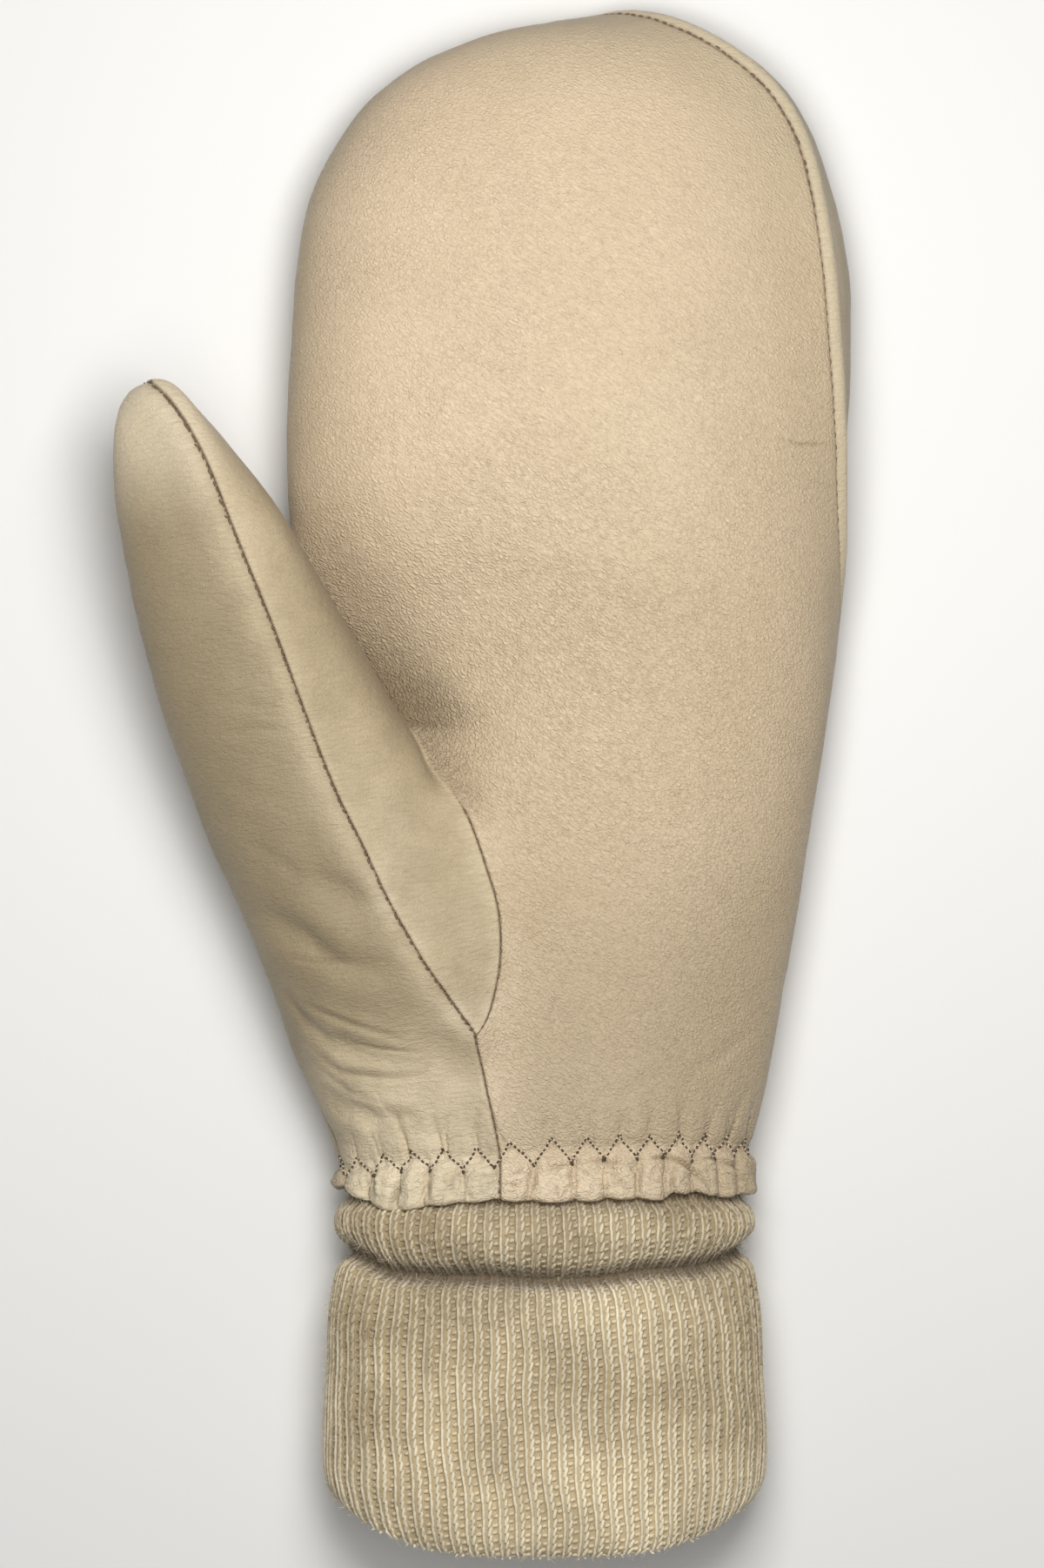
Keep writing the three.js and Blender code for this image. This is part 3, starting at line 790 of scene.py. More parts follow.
# Joins border edges into lines of point numbers, longest first
def chainEdges(pairs):
    links = {}
    for a, b in pairs.tolist():
        links.setdefault(a, []).append(b)
        links.setdefault(b, []).append(a)
    lines = []
    while links:
        start = next((p for p in sorted(links) if len(links[p]) == 1), min(links))
        line = [start]
        while line[-1] in links and links[line[-1]]:
            here = line[-1]
            following = links[here].pop()
            links[following].remove(here)
            line.append(following)
            for p in (here, following):
                if p in links and not links[p]:
                    del links[p]
        links = {p: n for p, n in links.items() if n}
        if len(line) > shortestLine:
            lines.append(line)
    return sorted(lines, key=len, reverse=True)


def bordersOf(triangles, labels, count):
    edges, sides = edgesOf(triangles, count)
    low = np.full(len(edges), labels.max() + 1)
    high = np.full(len(edges), -1)
    for k in range(3):
        np.minimum.at(low, sides[:, k], labels)
        np.maximum.at(high, sides[:, k], labels)
    return {name: edges[(low == a) & (high == b)]
            for name, a, b in (("palm-leaf", 0, 1), ("palm-back", 0, 2), ("leaf-back", 1, 2))}


# Small separate scraps of a panel go to the panel round them
def joinScraps(triangles, labels, count):
    edges, sides = edgesOf(triangles, count)
    order = np.argsort(sides.ravel(), kind="stable")
    owners = order // 3
    key = sides.ravel()[order]
    same = key[1:] == key[:-1]
    pairs = np.stack([owners[:-1][same], owners[1:][same]], 1)
    for _ in range(3):
        group = np.arange(len(triangles))
        inside = pairs[labels[pairs[:, 0]] == labels[pairs[:, 1]]]
        for _ in range(400):
            lowest = np.minimum(group[inside[:, 0]], group[inside[:, 1]])
            before = group.copy()
            np.minimum.at(group, inside[:, 0], lowest)
            np.minimum.at(group, inside[:, 1], lowest)
            group = group[group]
            if (group == before).all():
                break
        names, sizes = np.unique(group, return_counts=True)
        main = []
        for label in range(3):
            main.append(max((size, name) for name, size in zip(names, sizes) if labels[name] == label)[1])
        scraps = ~np.isin(group, main)
        if not scraps.any():
            break
        across = pairs[labels[pairs[:, 0]] != labels[pairs[:, 1]]]
        for a, b in np.vstack([across, across[:, ::-1]]).tolist():
            if scraps[a] and not scraps[b]:
                labels[group == group[a]] = labels[b]
                scraps[group == group[a]] = False
    return labels


# Columns of the leather's table after x, y and z: side of the thumb's root line, of the leaf's seam,
# of the palm's seam and of the hem's edge
thumbColumn, leafColumn, palmColumn, hemColumn = 3, 4, 5, 6


# The form in fine triangles near the seams, the hem and the narrow folds
def refinedForm():
    points, triangles = leatherForm()
    edges, _ = edgesOf(triangles, len(points))
    points = smoothPoints(points, edges, leatherBody["evenRounds"])
    fields = leatherFields(points)
    blend = leatherBody["blendWeight"] * bell(np.abs(fields["onThumb"]), leatherBody["blendReach"])
    blend *= smoothStep(-fields["leafSide"], *leatherBody["blendOffLeaf"])
    blend *= smoothStep(fields["palmSide"], *leatherBody["blendOffPalm"])
    points = smoothPoints(points, edges, leatherBody["blendRounds"], blend)
    stage(f"leather form, {len(triangles)} triangles")
    for reach, longest, hemTop, hemFloor in leatherBody["finer"]:
        f = leatherFields(points)
        near = (np.abs(f["onThumb"]) < reach) & (f["leafSide"] > -reach)
        near |= (np.abs(f["leafSide"]) < reach) & (f["onThumb"] > -reach)
        near |= (np.abs(f["palmSide"]) < reach) & (f["onThumb"] < reach)
        near |= (points[:, 1] < hemTop) & (points[:, 2] > hemFloor)
        for stroke, width, _ in leatherFolds:
            if width < leatherBody["finerFold"]:
                close = strokePlace(points, stroke)[0] < width + reach / 2
                near |= close & (points[:, 2] > leatherBody["finerAbove"])
        points, triangles = refine(points, triangles, near, longest)
    return points, triangles


def hemSides(points, degrees):
    phase = toothPhase(degrees)
    wave = np.abs(np.sin(math.pi * phase)) - wristHem["scallopMiddle"]
    uneven = 1 + wristHem["scallopUneven"] * perTooth(phase, seed=91)
    return points[:, 1] - aroundWrist(hemEdge, degrees) + wristHem["scallop"] * wave * uneven


# Cuts the form along the hem's edge and the seams, and gives each triangle its panel:
# 0 for the palm, 1 for the thumb's leaf, 2 for the back
def leatherPanels():
    points, triangles = refinedForm()
    f = leatherFields(points)
    hemSide = hemSides(points, f["degrees"])
    table = np.column_stack([points, f["onThumb"], f["leafSide"], f["palmSide"], hemSide])
    held = np.zeros(len(table), bool)
    almost = 1e-9    # points this close to the thumb's root line are on it
    cuts = (
        (hemColumn, lambda t: np.ones(len(t), bool)),
        (thumbColumn, lambda t: t[:, leafColumn] > -2),    # it ends just beyond the leaf's seam
        (leafColumn, lambda t: t[:, thumbColumn] >= -almost),
        (palmColumn, lambda t: t[:, thumbColumn] <= almost),
    )
    for column, where in cuts:
        table, triangles, values = cutAlong(table, triangles, table[:, column], where(table), held)
        table[:, column] = values
        held = np.concatenate([held, np.zeros(len(table) - len(held), bool)]) | (values == 0)
        if column == hemColumn:
            triangles = triangles[table[:, hemColumn][triangles].mean(1) > 0]
            used, index = np.unique(triangles, return_inverse=True)
            table, held, triangles = table[used], held[used], index.reshape(-1, 3)
    middle = table[triangles].mean(1)
    thumbLabels = np.where(middle[:, leafColumn] > 0, 1, 2)
    handLabels = np.where(middle[:, palmColumn] > 0, 0, 2)
    labels = np.where(middle[:, thumbColumn] > 0, thumbLabels, handLabels)
    return table, triangles, joinScraps(triangles, labels, len(table))


# Evens out spots where a fold has turned faces over
def unfold(points, triangles, edges, facing):
    for _ in range(leatherBody["unfoldRounds"]):
        a, b, c = (points[triangles[:, k]] for k in range(3))
        turned = (np.cross(b - a, c - a) * facing[triangles].mean(1)).sum(1) <= 0
        if not turned.any():
            break
        weight = np.zeros(len(points))
        weight[triangles[turned].ravel()] = leatherBody["unfoldWeight"]
        points = smoothPoints(points, edges, 2, weight)
    return points


# Presses the folds in. Gives the relief and the painted shade inside the narrow folds.
def foldRelief(points, facingUp, push, shade):
    fold = foldShape
    astray = [fold["wander"] * lumps(points, fold["wanderSize"], seed) for seed in fold["wanderSeeds"]]
    warped = points + np.stack([*astray, 0 * points[:, 2]], 1)
    for stroke, width, depth in leatherFolds + hemFolds:
        away, share = strokePlace(warped if width > fold["straight"] else points, stroke)
        taper = np.sin(math.pi * np.clip(share, *fold["ends"])) ** fold["taper"]
        press = bell(away, width) - fold["rim"] * bell(away - fold["rimPlace"] * width, width)
        push = push - depth * facingUp * taper * press
        if width < fold["dark"]:
            deep = min(1, fold["darkLeast"] + fold["darkMore"] * depth)
            dark = deep * facingUp * taper * np.exp(-((away / width) ** 2) * fold["darkFocus"])
            shade = np.maximum(shade, dark)
    return push, shade


# The seam beside the thumb's root: how far it is tucked in, where its groove is closed, and its shade
def hollowParts(y, away, onThumb):
    shape = hollowShape
    high = smoothStep(y, *shape["tuckUp"])
    wide = smoothStep(y, *shape["wideUp"])
    middle = bell(y - shape["wideMiddle"], shape["wideSpread"])
    above = wide * (shape["wideLeast"] + shape["wideMore"] * middle)
    below = shape["narrowShare"] * smoothStep(y, *shape["narrowUp"]) * (1 - wide)
    dark = above * bell(away, shape["wide"]) + below * bell(away, shape["narrow"])
    dark *= (1 - smoothStep(away, *shape["shadeEnd"])) * (onThumb < 0)
    closed = smoothStep(y, *shape["closedUp"]) * (away < shape["closedReach"])
    return {"high": high, "hidden": high * bell(away, shape["tuckReach"]), "closed": closed, "hollow": dark}


# How far a rounded edge has turned in: 1 at the edge, 0 at its width
def turnedEdge(away, width):
    return 1 - np.sqrt(1 - np.clip(1 - away / width, 0, 1) ** 2)


# Ridges, the rolled strip, the outer thumb's step and the grooves
def seamRelief(points, fields, lines, push):
    x, y = points[:, 0], points[:, 1]
    gap = np.full(len(points), seamShape["reach"])
    parts = {}
    for name, found in lines.items():
        away = distanceTo(points[np.concatenate(found)], points, seamShape["reach"])
        gap = np.minimum(gap, away)
        dip = seamShape["dip"] * bell(away - seamShape["dipPlace"], seamShape["dipWidth"])
        push = push + seamShape[name]["ridge"] * (bell(away, seamShape[name]["decay"]) - dip)
        if name == "palm-leaf":
            parts.update(hollowParts(y, away, fields["onThumb"]))
        if name == "palm-back":
            strip = (fields["palmSide"] < 0) * smoothStep(y, *seamShape["rollUp"])
            strip = strip * smoothStep(x, *seamShape["rollRight"])
            roll = bell(away - seamShape["rollPlace"], seamShape["rollWidth"])
            push = push + seamShape["roll"] * strip * roll
            parts["rolled"] = strip * bell(away, seamShape["rollFade"])
        if name == "leaf-back":
            parts["step"] = bell(away, seamShape["stepReach"]) * (fields["leafSide"] < 0)
            push = push - seamShape["step"] * parts["step"]
    parts["gap"] = gap
    parts["plain"] = smoothStep(x, *seamShape["plainRight"]) * smoothStep(y, *seamShape["plainDown"])
    push = push - seamShape["grooveDepth"] * turnedEdge(gap, seamShape["groove"]) * (1 - parts["closed"])
    return push, parts


# Zones of painted shade and painted light: the share, and for each measure the places where the zone fades
# in, from the first to the second
shadeZones = {
    "outerThumb": (0.95, {"leafSide": (-1, -9), "onThumb": (-8, 2), "y": (92, 112)}),
    "leaf": (0.3, {"onThumb": (0, 2), "leafSide": (0, 2), "y": (205, 180)}),
    "palmRight": (0.4, {"x": (5, 50)}),
    "palmLow": (0.85, {"y": (162, 98), "x": (-22, 6)}),
    "hemRight": (0.7, {"x": (6, 32), "y": (92, 78)}),
    "palmLeft": (0.5, {"x": (-27, -48), "y": (160, 176)}),
    "thumbTip": (1.0, {"onThumb": (-4, 4), "along": (96, 122)}),
    "aboveHem": (1.0, {"y": (74, 86)}),
    "wrist": (0.55, {"y": (104, 80)}),
}
shadeLook = {
    "side": 0.8,                 # leather that turns away from the light
    "facing": (0.97, 0.15),
    "grainLeast": 0.62,          # the grain is strongest in the middle of the palm
    "grainMore": 0.45,
    "grainMiddle": (-4, 172),
    "grainSpread": (42, 46),
    # painted highlight along the back's rolled strip beside the palm seam
    "rolledHighlight": 0.7,
    # painted shade on the outer thumb's leather beside its seam
    "stepDark": 0.3,
    "stepFrom": -3,
    # the hem's gathers: their wrinkles, and painted light that makes the hem lighter
    "gatherMiddle": 73.5,
    "gatherHalf": 7,
    "threadWidth": 0.27,
    "threadPlain": 0.5,
    "wearReach": 2.5,
}


def leatherShades(points, normals, table, fields, parts, foldShade):
    look = shadeLook
    measures = {"x": points[:, 0], "y": points[:, 1], "onThumb": table[:, thumbColumn],
                "leafSide": table[:, leafColumn], "along": fields["along"]}
    zones = {}
    for name, (share, fades) in shadeZones.items():
        zones[name] = share
        for measure, places in fades.items():
            zones[name] = zones[name] * smoothStep(measures[measure], *places)
    onHand = measures["onThumb"] < 0
    right = np.maximum((zones["palmRight"] + zones["palmLow"]) * zones["aboveHem"], zones["hemRight"])
    side = look["side"] * smoothStep(normals[:, 2], *look["facing"]) * (1 - parts["rolled"])
    side = side + zones["outerThumb"] + zones["leaf"] + (right + zones["palmLeft"]) * onHand
    offX, offY = (((points[:, k] - look["grainMiddle"][k]) / look["grainSpread"][k]) ** 2 for k in range(2))
    gathered = np.exp(-((np.abs(points[:, 1] - look["gatherMiddle"]) / look["gatherHalf"]) ** 3))
    thread = bell(parts["gap"], look["threadWidth"]) * (1 - parts["closed"])
    step = parts["step"] * (measures["onThumb"] > look["stepFrom"])
    return {
        # painted shade: darker where the leather turns from the light, on the outer thumb and the leaf, and
        # on the palm's right, lower and left parts and the hem's right side
        "sideShade": np.clip(side, 0, 1),
        "grainStrength": look["grainLeast"] + look["grainMore"] * np.exp(-offX - offY),
        # painted highlight: lighter at the thumb's tip and along the rolled strip
        "paintedHighlight": np.maximum(zones["thumbTip"], look["rolledHighlight"] * parts["rolled"]),
        "foldShade": foldShade,
        "hollowShade": parts["hollow"] + look["stepDark"] * step,
        # painted light on the hem and the wrist, which also sets where the gathers wrinkle
        "gatherAndHemLight": np.maximum(gathered, zones["wrist"]),
        "seamShade": thread * (1 - look["threadPlain"] * parts["plain"]),
        "seamNear": np.exp(-parts["gap"] / look["wearReach"]) * (1 - parts["high"]),
    }


# Gives the outer and inner points, the seams as lines of point numbers, and the shades
def dressedLeather(table, triangles, labels):
    points = table[:, :3].copy()
    edges, _ = edgesOf(triangles, len(points))
    normals = pointNormals(smoothPoints(points, edges, leatherBody["normalRounds"]), triangles)
    lines = {name: chainEdges(pairs) for name, pairs in bordersOf(triangles, labels, len(points)).items()}
    fields = leatherFields(points)
    push, crease = hemRelief(points, fields["degrees"])
    facingUp = smoothStep(normals[:, 2], *foldShape["facing"])
    push, foldShade = foldRelief(points, facingUp, push, crease / 2)
    for lump in leatherBody["lumps"]:
        push = push + heightLumps(points, lump)
    push, parts = seamRelief(points, fields, lines, push)
    hemGap = np.maximum(table[:, hemColumn], 0)
    push = push - wristHem["edgeDepth"] * turnedEdge(hemGap, wristHem["edgeRound"])
    points = points + normals * push[:, None]
    lean = thumbShape["lean"]
    inward = np.array([-math.cos(lean), -math.sin(lean), -hollowShape["tuckSink"]])
    points += parts["hidden"][:, None] * hollowShape["tuck"] * inward
    points = unfold(points, triangles, edges, normals)
    points[:, 2] = np.maximum(points[:, 2], leatherBody["lowest"])
    smoothed = smoothPoints(points, edges, leatherBody["innerRounds"])
    inner = smoothed - pointNormals(smoothed, triangles) * leatherBody["wall"]
    return points, inner, lines, leatherShades(points, normals, table, fields, parts, foldShade)


# A panel as a closed shell: outside, inside and the wall along its edges
def panelPiece(name, points, inner, triangles, shades):
    used, index = np.unique(triangles, return_inverse=True)
    index, count = index.reshape(-1, 3), len(used)
    sides = np.stack([index, np.roll(index, -1, 1)], -1).reshape(-1, 2)
    keys = sides.min(1).astype(np.int64) * count + sides.max(1)
    _, place, number = np.unique(keys, return_index=True, return_counts=True)
    a, b = sides[place[number == 1]].T
    rim = np.vstack([np.stack([b, a, a + count], 1), np.stack([b, a + count, b + count], 1)])
    faces = np.vstack([index, index[:, ::-1] + count, rim])
    mesh = plainMesh(name, toFrame(np.vstack([points[used], inner[used]])), faces)
    for key, values in shades.items():
        twice = np.tile(values[used], 2).astype(np.float32)
        mesh.attributes.new(key, "FLOAT", "POINT").data.foreach_set("value", twice)
    mesh.polygons.foreach_set("use_smooth", np.ones(len(mesh.polygons), bool))
    return addPiece(name, mesh)


# Nodes: inputs are values or other nodes' outputs
def addNode(tree, kind, inputs=None, **settings):
    node = tree.nodes.new(kind)
    for key, value in settings.items():
        setattr(node, key, value)
    for key, value in (inputs or {}).items():
        if isinstance(value, bpy.types.NodeSocket):
            tree.links.new(value, node.inputs[key])
        else:
            node.inputs[key].default_value = value
    return node


def srgb(red, green, blue):
    linear = [((v / 255 + 0.055) / 1.055) ** 2.4 if v > 10 else v / 255 / 12.92 for v in (red, green, blue)]
    return (*linear, 1.0)


def newMaterial(name):
    material = bpy.data.materials.new(name)
    material.use_nodes = True
    tree = material.node_tree
    tree.nodes.clear()
    shader = addNode(tree, "ShaderNodeBsdfPrincipled")
    addNode(tree, "ShaderNodeOutputMaterial", {"Surface": shader.outputs[0]})
    return material, tree, shader


def setInputs(node, values):
    for key, value in values.items():
        node.inputs[key].default_value = value


def mixColour(tree, share, first, second):
    inputs = {0: share, 6: first, 7: second}
    return addNode(tree, "ShaderNodeMix", inputs, data_type="RGBA", blend_type="MIX").outputs[2]


def mathNode(tree, operation, first, second=0.5, clamp=False):
    inputs = {0: first, 1: second}
    return addNode(tree, "ShaderNodeMath", inputs, operation=operation, use_clamp=clamp).outputs[0]


def times(tree, first, second):
    return mathNode(tree, "MULTIPLY", first, second)


def plus(tree, first, second):
    return mathNode(tree, "ADD", first, second)


def minus(tree, first, second):
    return mathNode(tree, "SUBTRACT", first, second)


def attribute(tree, name):
    return addNode(tree, "ShaderNodeAttribute", attribute_name=name).outputs["Fac"]


# Object coordinates, turned about z and then stretched
def placed(tree, turn=0.0, scale=(1, 1, 1)):
    inputs = {"Vector": addNode(tree, "ShaderNodeTexCoord").outputs["Object"],
              "Rotation": (0, 0, turn), "Scale": tuple(1 / s for s in scale)}
    return addNode(tree, "ShaderNodeMapping", inputs, vector_type="TEXTURE").outputs[0]


def noiseNode(tree, vector, scale, detail=2.0, roughness=0.5, distortion=0.0):
    inputs = {"Vector": vector, "Scale": scale, "Detail": detail, "Roughness": roughness,
              "Distortion": distortion}
    return addNode(tree, "ShaderNodeTexNoise", inputs).outputs[0]


def ramp(tree, value, low, high, toLow=0.0, toHigh=1.0, kind="LINEAR"):
    inputs = {"Value": value, "From Min": low, "From Max": high, "To Min": toLow, "To Max": toHigh}
    return addNode(tree, "ShaderNodeMapRange", inputs, interpolation_type=kind).outputs[0]


# Thin lines where a noise crosses its middle
def veins(tree, noise, width, strength=1.0):
    away = mathNode(tree, "ABSOLUTE", minus(tree, noise, 0.5))
    return ramp(tree, away, 0.0, width, strength, 0.0, "SMOOTHSTEP")


def addBump(tree, shader, height, strength, distance):
    bump = addNode(tree, "ShaderNodeBump", {"Height": height, "Strength": strength, "Distance": distance})
    tree.links.new(bump.outputs[0], shader.inputs["Normal"])


# 2. Leather finishes. Sizes are per metre, depths in metres.
seamBrown = srgb(126, 104, 82)
# In both finishes the side and deep colours paint shade, the hem colour paints light on the hem and the
# wrist, and the worn colour is wear beside the seams and a painted highlight on the thumb's tip and the
# rolled strip
palmFinish = {
    "colour": srgb(226, 206, 175), "shade": srgb(216, 196, 163), "wearAndHighlight": srgb(232, 214, 186),
    "blush": srgb(231, 205, 177), "side": srgb(178, 161, 131), "deep": srgb(128, 109, 83),
    "grainColour": srgb(174, 152, 120), "hem": srgb(241, 222, 192), "thread": seamBrown,
    "grainTint": 0.27,
    "mottle": 0.05,
    "grainScale": 1250,
    "grainDepth": 0.00023,
    "grainStretch": (0.74, 1.3, 1.0),
    "grainTurn": math.radians(-34),
    "strandScale": (600, 1320, 1000),
    "creaseScale": (500, 1100, 700),
    "creaseDepth": 0.00009,
    "creaseTurn": 0.0,
    "gatherDepth": 0.00012,
    "roughness": 0.56,
}
smoothFinish = {
    "colour": srgb(212, 195, 163), "shade": srgb(202, 185, 152), "wearAndHighlight": srgb(230, 215, 186),
    "blush": srgb(210, 190, 162), "side": srgb(148, 132, 103), "deep": srgb(118, 101, 76),
    "grainColour": srgb(176, 158, 127), "hem": srgb(242, 227, 197), "thread": seamBrown,
    "grainTint": 0.15,
    "mottle": 0.28,
    "grainScale": 1300,
    "grainDepth": 0.00007,
    "grainStretch": (1.0, 1.3, 1.0),
    "grainTurn": 0.0,
    "strandScale": (500, 1500, 900),
    "creaseScale": (420, 1500, 800),
    "creaseDepth": 0.00034,
    "creaseTurn": math.radians(8),
    "gatherDepth": 0.00012,
    "roughness": 0.52,
}

# Patterns that both leathers share. Scales are per metre. A range is where the pattern begins and is
# full, and after these its strength at both ends where that isn't 0 and 1.
leatherPattern = {
    "bendScale": 420.0,      # bends the grain's cells
    "bend": (0.0011, 0.0011, 0.0011),
    "valleyRange": (0.0, 0.34, 1.0, 0.0),
    "valleyShare": 0.85,
    "poreScale": 0.7,        # as a share of the grain's
    "poreRange": (0.08, 0.26, 1.0, 0.0),
    "poreShare": 0.35,
    "brokenScale": 500.0,
    "brokenRange": (0.36, 0.6, 0.75, 1.0),
    "strandWidth": 0.14,
    "strandShare": 0.5,
    "patchScale": 38.0,
    "patchRange": (0.35, 0.65, 0.8, 1.0),
    "hollowGrain": 0.5,
    "gatherTurn": 0.2,
    "gatherScale": (330, 620, 450),
    "gatherWidth": 0.1,
    "cloudScale": 22.0,
    "cloudRange": (0.35, 0.68),
    "blushTurn": 0.4,
    "blushScale": (14, 9, 9),
    "blushRange": (0.42, 0.62),
    "mottleScale": 130.0,
    "mottleRange": (0.4, 0.65),
    "wearScale": 90.0,
    "wearRange": (0.5, 0.75),
    "roughScale": 60.0,
    "roughRange": (0.3, 0.7),
    "smoother": 0.06,
    "rougher": 0.08,
}


# The grain's valleys, pores and strands, from 0 to about 1
def leatherGrain(tree, finish, plain):
    pattern = leatherPattern
    wobble = {"Vector": plain, "Scale": pattern["bendScale"], "Detail": 2.0}
    bent = {0: addNode(tree, "ShaderNodeTexNoise", wobble).outputs["Color"], 1: pattern["bend"]}
    bent = addNode(tree, "ShaderNodeVectorMath", bent, operation="MULTIPLY").outputs[0]
    turned = placed(tree, finish["grainTurn"], finish["grainStretch"])
    moved = addNode(tree, "ShaderNodeVectorMath", {0: turned, 1: bent}, operation="ADD").outputs[0]
    cells = {"Vector": moved, "Scale": finish["grainScale"]}
    border = addNode(tree, "ShaderNodeTexVoronoi", cells, feature="DISTANCE_TO_EDGE").outputs["Distance"]
    pores = {"Vector": moved, "Scale": finish["grainScale"] * pattern["poreScale"]}
    pore = addNode(tree, "ShaderNodeTexVoronoi", pores).outputs["Distance"]
    broken = ramp(tree, noiseNode(tree, plain, pattern["brokenScale"]), *pattern["brokenRange"])
    valley = times(tree, ramp(tree, border, *pattern["valleyRange"], "SMOOTHSTEP"), broken)
    pit = ramp(tree, pore, *pattern["poreRange"], "SMOOTHSTEP")
    strand = noiseNode(tree, placed(tree, finish["grainTurn"], finish["strandScale"]), 1.0, 2.0, 0.5, 0.8)
    strand = veins(tree, strand, pattern["strandWidth"], pattern["strandShare"])
    cut = plus(tree, times(tree, valley, pattern["valleyShare"]), times(tree, pit, pattern["poreShare"]))
    patch = ramp(tree, noiseNode(tree, plain, pattern["patchScale"], 3.0), *pattern["patchRange"])
    patch = times(tree, patch, attribute(tree, "grainStrength"))
    strong = plus(tree, patch, times(tree, attribute(tree, "hollowShade"), pattern["hollowGrain"]))
    return times(tree, plus(tree, cut, strand), strong)


# Height in mm: fine creases, less the grain and the wrinkles of the gathers
def leatherHeight(tree, finish, cut):
    creased = placed(tree, finish["creaseTurn"], finish["creaseScale"])
    crease = noiseNode(tree, creased, 1.0, 4.0, 0.62, 0.6)
    gathered = placed(tree, leatherPattern["gatherTurn"], leatherPattern["gatherScale"])
    wrinkle = veins(tree, noiseNode(tree, gathered, 1.0, 1.5, 0.45, 1.2), leatherPattern["gatherWidth"])
    wrinkle = times(tree, wrinkle, attribute(tree, "gatherAndHemLight"))
    crease = times(tree, crease, finish["creaseDepth"] * 1000)
    high = minus(tree, crease, times(tree, cut, finish["grainDepth"] * 1000))
    return minus(tree, high, times(tree, wrinkle, finish["gatherDepth"] * 1000))


def leatherColour(tree, finish, plain, cut):
    pattern = leatherPattern
    cloud = ramp(tree, noiseNode(tree, plain, pattern["cloudScale"], 3.0, 0.55), *pattern["cloudRange"])
    blush = placed(tree, pattern["blushTurn"], pattern["blushScale"])
    blush = ramp(tree, noiseNode(tree, blush, 1.0, 2.0, 0.5), *pattern["blushRange"])
    mottle = noiseNode(tree, plain, pattern["mottleScale"], 3.0, 0.6)
    mottle = ramp(tree, mottle, *pattern["mottleRange"], 0.0, finish["mottle"])
    wearAndHighlight = ramp(tree, noiseNode(tree, plain, pattern["wearScale"], 4.0), *pattern["wearRange"])
    # Random blush, mottle and grain, wear beside the seams, and painted light and shade: the hem and wrist
    # lighter, the sides, hollow and folds darker, a highlight on the thumb's tip and the rolled strip
    layers = (
        (times(tree, blush, 0.4), "blush"),
        (times(tree, attribute(tree, "gatherAndHemLight"), 0.85), "hem"),
        (mottle, "side"),
        (times(tree, attribute(tree, "sideShade"), 0.8), "side"),
        (times(tree, attribute(tree, "paintedHighlight"), 0.8), "wearAndHighlight"),
        (times(tree, wearAndHighlight, attribute(tree, "seamNear")), "wearAndHighlight"),
        (times(tree, cut, finish["grainTint"]), "grainColour"),
        (times(tree, attribute(tree, "hollowShade"), 0.85), "deep"),
        (times(tree, attribute(tree, "foldShade"), 0.6), "deep"),
        (times(tree, attribute(tree, "seamShade"), 0.75), "thread"),
    )
    colour = mixColour(tree, cloud, finish["shade"], finish["colour"])
    for share, over in layers:
        colour = mixColour(tree, share, colour, finish[over])
    return colour


def leatherMaterial(name, finish):
    material, tree, shader = newMaterial(name)
    plain = placed(tree)
    cut = leatherGrain(tree, finish, plain)
    addBump(tree, shader, leatherHeight(tree, finish, cut), 1.0, 0.001)
    tree.links.new(leatherColour(tree, finish, plain, cut), shader.inputs["Base Color"])
    least = finish["roughness"] - leatherPattern["smoother"]
    most = finish["roughness"] + leatherPattern["rougher"]
    rough = noiseNode(tree, plain, leatherPattern["roughScale"])
    rough = ramp(tree, rough, *leatherPattern["roughRange"], least, most)
    tree.links.new(rough, shader.inputs["Roughness"])
    setInputs(shader, {"Specular IOR Level": 0.38, "Sheen Weight": 0.08, "Sheen Roughness": 0.5})
    return material


leatherTable, leatherTriangles, panelOf = leatherPanels()
dressed = dressedLeather(leatherTable, leatherTriangles, panelOf)
leatherPoints, leatherInner, seamLines, leatherShading = dressed
leatherNormals = pointNormals(leatherPoints, leatherTriangles)
palmLeather = leatherMaterial("pebbled palm leather", palmFinish)
smoothLeather = leatherMaterial("smooth thumb leather", smoothFinish)
panels = []
for number, (name, node, slot, leather) in enumerate((
        ("palm_leather", "palm_panel", "palm_leather", palmLeather),
        ("thumb_leaf_leather", "thumb_panel", "smooth_leather", smoothLeather),
        ("back_leather", "back_panel", "smooth_leather", smoothLeather))):
    own = leatherTriangles[panelOf == number]
    piece = panelPiece(name, leatherPoints, leatherInner, own, leatherShading)
    piece.data.materials.append(leather)
    panels.append((piece, node, slot))
    stage(f"{name}: {len(piece.data.polygons)} faces")

